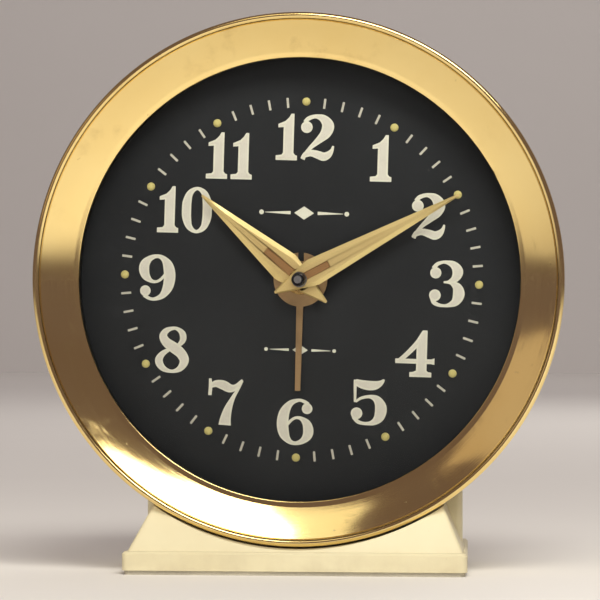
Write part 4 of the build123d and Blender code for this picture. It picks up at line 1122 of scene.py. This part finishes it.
def buildCoverMarks(work):
    groups = [arrowShapes(onCover(jointName), *curve) for jointName, *curve in arrows]
    size, half = coverMark["plus"] / 2, coverMark["width"] / 2
    bx, bz = onCover("balance_swing")
    plusAt = (bx + coverMark["regulatorShift"], bz + coverMark["regulatorGap"])
    minusAt = (bx + coverMark["regulatorShift"], bz - coverMark["regulatorGap"])
    groups += [[barShape(plusAt, size, half), barShape(plusAt, half, size)], [barShape(minusAt, size, half)]]
    for group in groups:
        rings = [[Vector(point) for point in shape] for shape in group]
        raiseFlat(work, rings, coverMark["level"], coverMark["level"] + coverMark["rise"])
    bmesh.ops.translate(work, verts=work.verts, vec=(0, 0, axisHeight))


newPiece("coverMarks", meshFrom("coverMarks", buildCoverMarks), stampedBrown, "case", 30)
print("cover marked")


# light, floor and camera
studio = {"focal": 225.0, "distance": 0.70, "yaw": 6.0, "aimX": 0.0007, "height": 0.05115,
          "floorReach": 4.0, "wallAway": 1.9, "wallHalf": 1.6, "wallLow": -0.6, "wallHigh": 1.4}


def areaLight(name, spot, aim, size, power, colour, glossy):
    lamp = bpy.data.lights.new(name, "AREA")
    lamp.shape = "RECTANGLE"
    lamp.size, lamp.size_y = size
    lamp.energy = power
    lamp.color = colour
    holder = addObject(name, lamp)
    holder.location = spot
    holder.rotation_mode = "QUATERNION"
    holder.rotation_quaternion = (Vector(aim) - Vector(spot)).to_track_quat("-Z", "Y")
    holder.visible_glossy = glossy
    holder.visible_camera = False


# the first three show in the gilt; the rest only light it
for name, spot, size, power, colour in (
        ("softboxGleam", (0.16, -0.41, 0.52), (0.42, 0.26), 2.4, (1.0, 0.97, 0.90)),
        ("gleamEdge", (-0.10, -0.41, 0.55), (0.17, 0.26), 0.14, (1.0, 0.95, 0.80)),
        ("warmPanel", (-0.43, -0.37, 0.27), (0.24, 0.25), 0.075, (1.0, 0.82, 0.60))):
    areaLight(name, spot, axisPoint, size, power, colour, True)
for name, spot, size, power, colour in (
        ("softboxLight", (0.17, -0.40, 0.50), (0.34, 0.22), 1.4, (1.0, 0.97, 0.90)),
        ("fillLeft", (-0.7, -0.5, 0.35), (0.5, 0.5), 1.1, (1.0, 0.93, 0.84)),
        ("fillBack", (0.3, 0.9, 0.6), (0.7, 0.5), 3.0, (1.0, 0.97, 0.92)),
        ("frontGlow", (0.05, -1.1, 0.30), (0.6, 0.3), 3.7, (1.0, 0.97, 0.92))):
    areaLight(name, spot, axisPoint, size, power, colour, False)
wallAim = (0, studio["wallAway"], 0.3)
areaLight("wallWash", (0.0, 1.2, 1.3), wallAim, (0.9, 0.4), 5.0, (1.0, 0.98, 0.95), False)

world = bpy.data.worlds.new("studioAir")
bpy.context.scene.world = world
world.use_nodes = True
air = world.node_tree.nodes["Background"]
air.inputs["Color"].default_value = (0.155, 0.115, 0.125, 1)
air.inputs["Strength"].default_value = 1.0


def buildFloor(work):
    bmesh.ops.create_grid(work, x_segments=2, y_segments=2, size=studio["floorReach"])


def buildWall(work):
    half, low, high = studio["wallHalf"], studio["wallLow"], studio["wallHigh"]
    corners = [(-half, low), (half, low), (half, high), (-half, high)]
    work.faces.new([work.verts.new((x, studio["wallAway"], z)) for x, z in corners])


def stagePiece(name, build, colour):
    made = Finish(name)
    cloud = made.noise(made.place(), 12, 3)
    made.set(colour=made.mix(cloud, colour, [c * 0.97 for c in colour]), rough=0.85)
    piece = addObject(name, meshFrom(name, build, False))
    onlyMaterial(piece, made.material)
    return piece


stagePiece("paleTable", buildFloor, (0.80, 0.78, 0.74))
stagePiece("paleWall", buildWall, (0.80, 0.78, 0.75))

lens = bpy.data.cameras.new("camera")
lens.lens = studio["focal"]
lens.sensor_width = 36.0
lens.clip_start = 0.01
camera = addObject("camera", lens)
yaw = radians(studio["yaw"])
aim = Vector((studio["aimX"], rimFront, studio["height"]))
camera.location = aim + Vector((sin(yaw), -cos(yaw), 0)) * studio["distance"]
camera.rotation_mode = "QUATERNION"
camera.rotation_quaternion = (aim - camera.location).to_track_quat("-Z", "Y")
bpy.context.scene.camera = camera
bpy.context.scene.view_settings.view_transform = "Standard"
print("studio set")
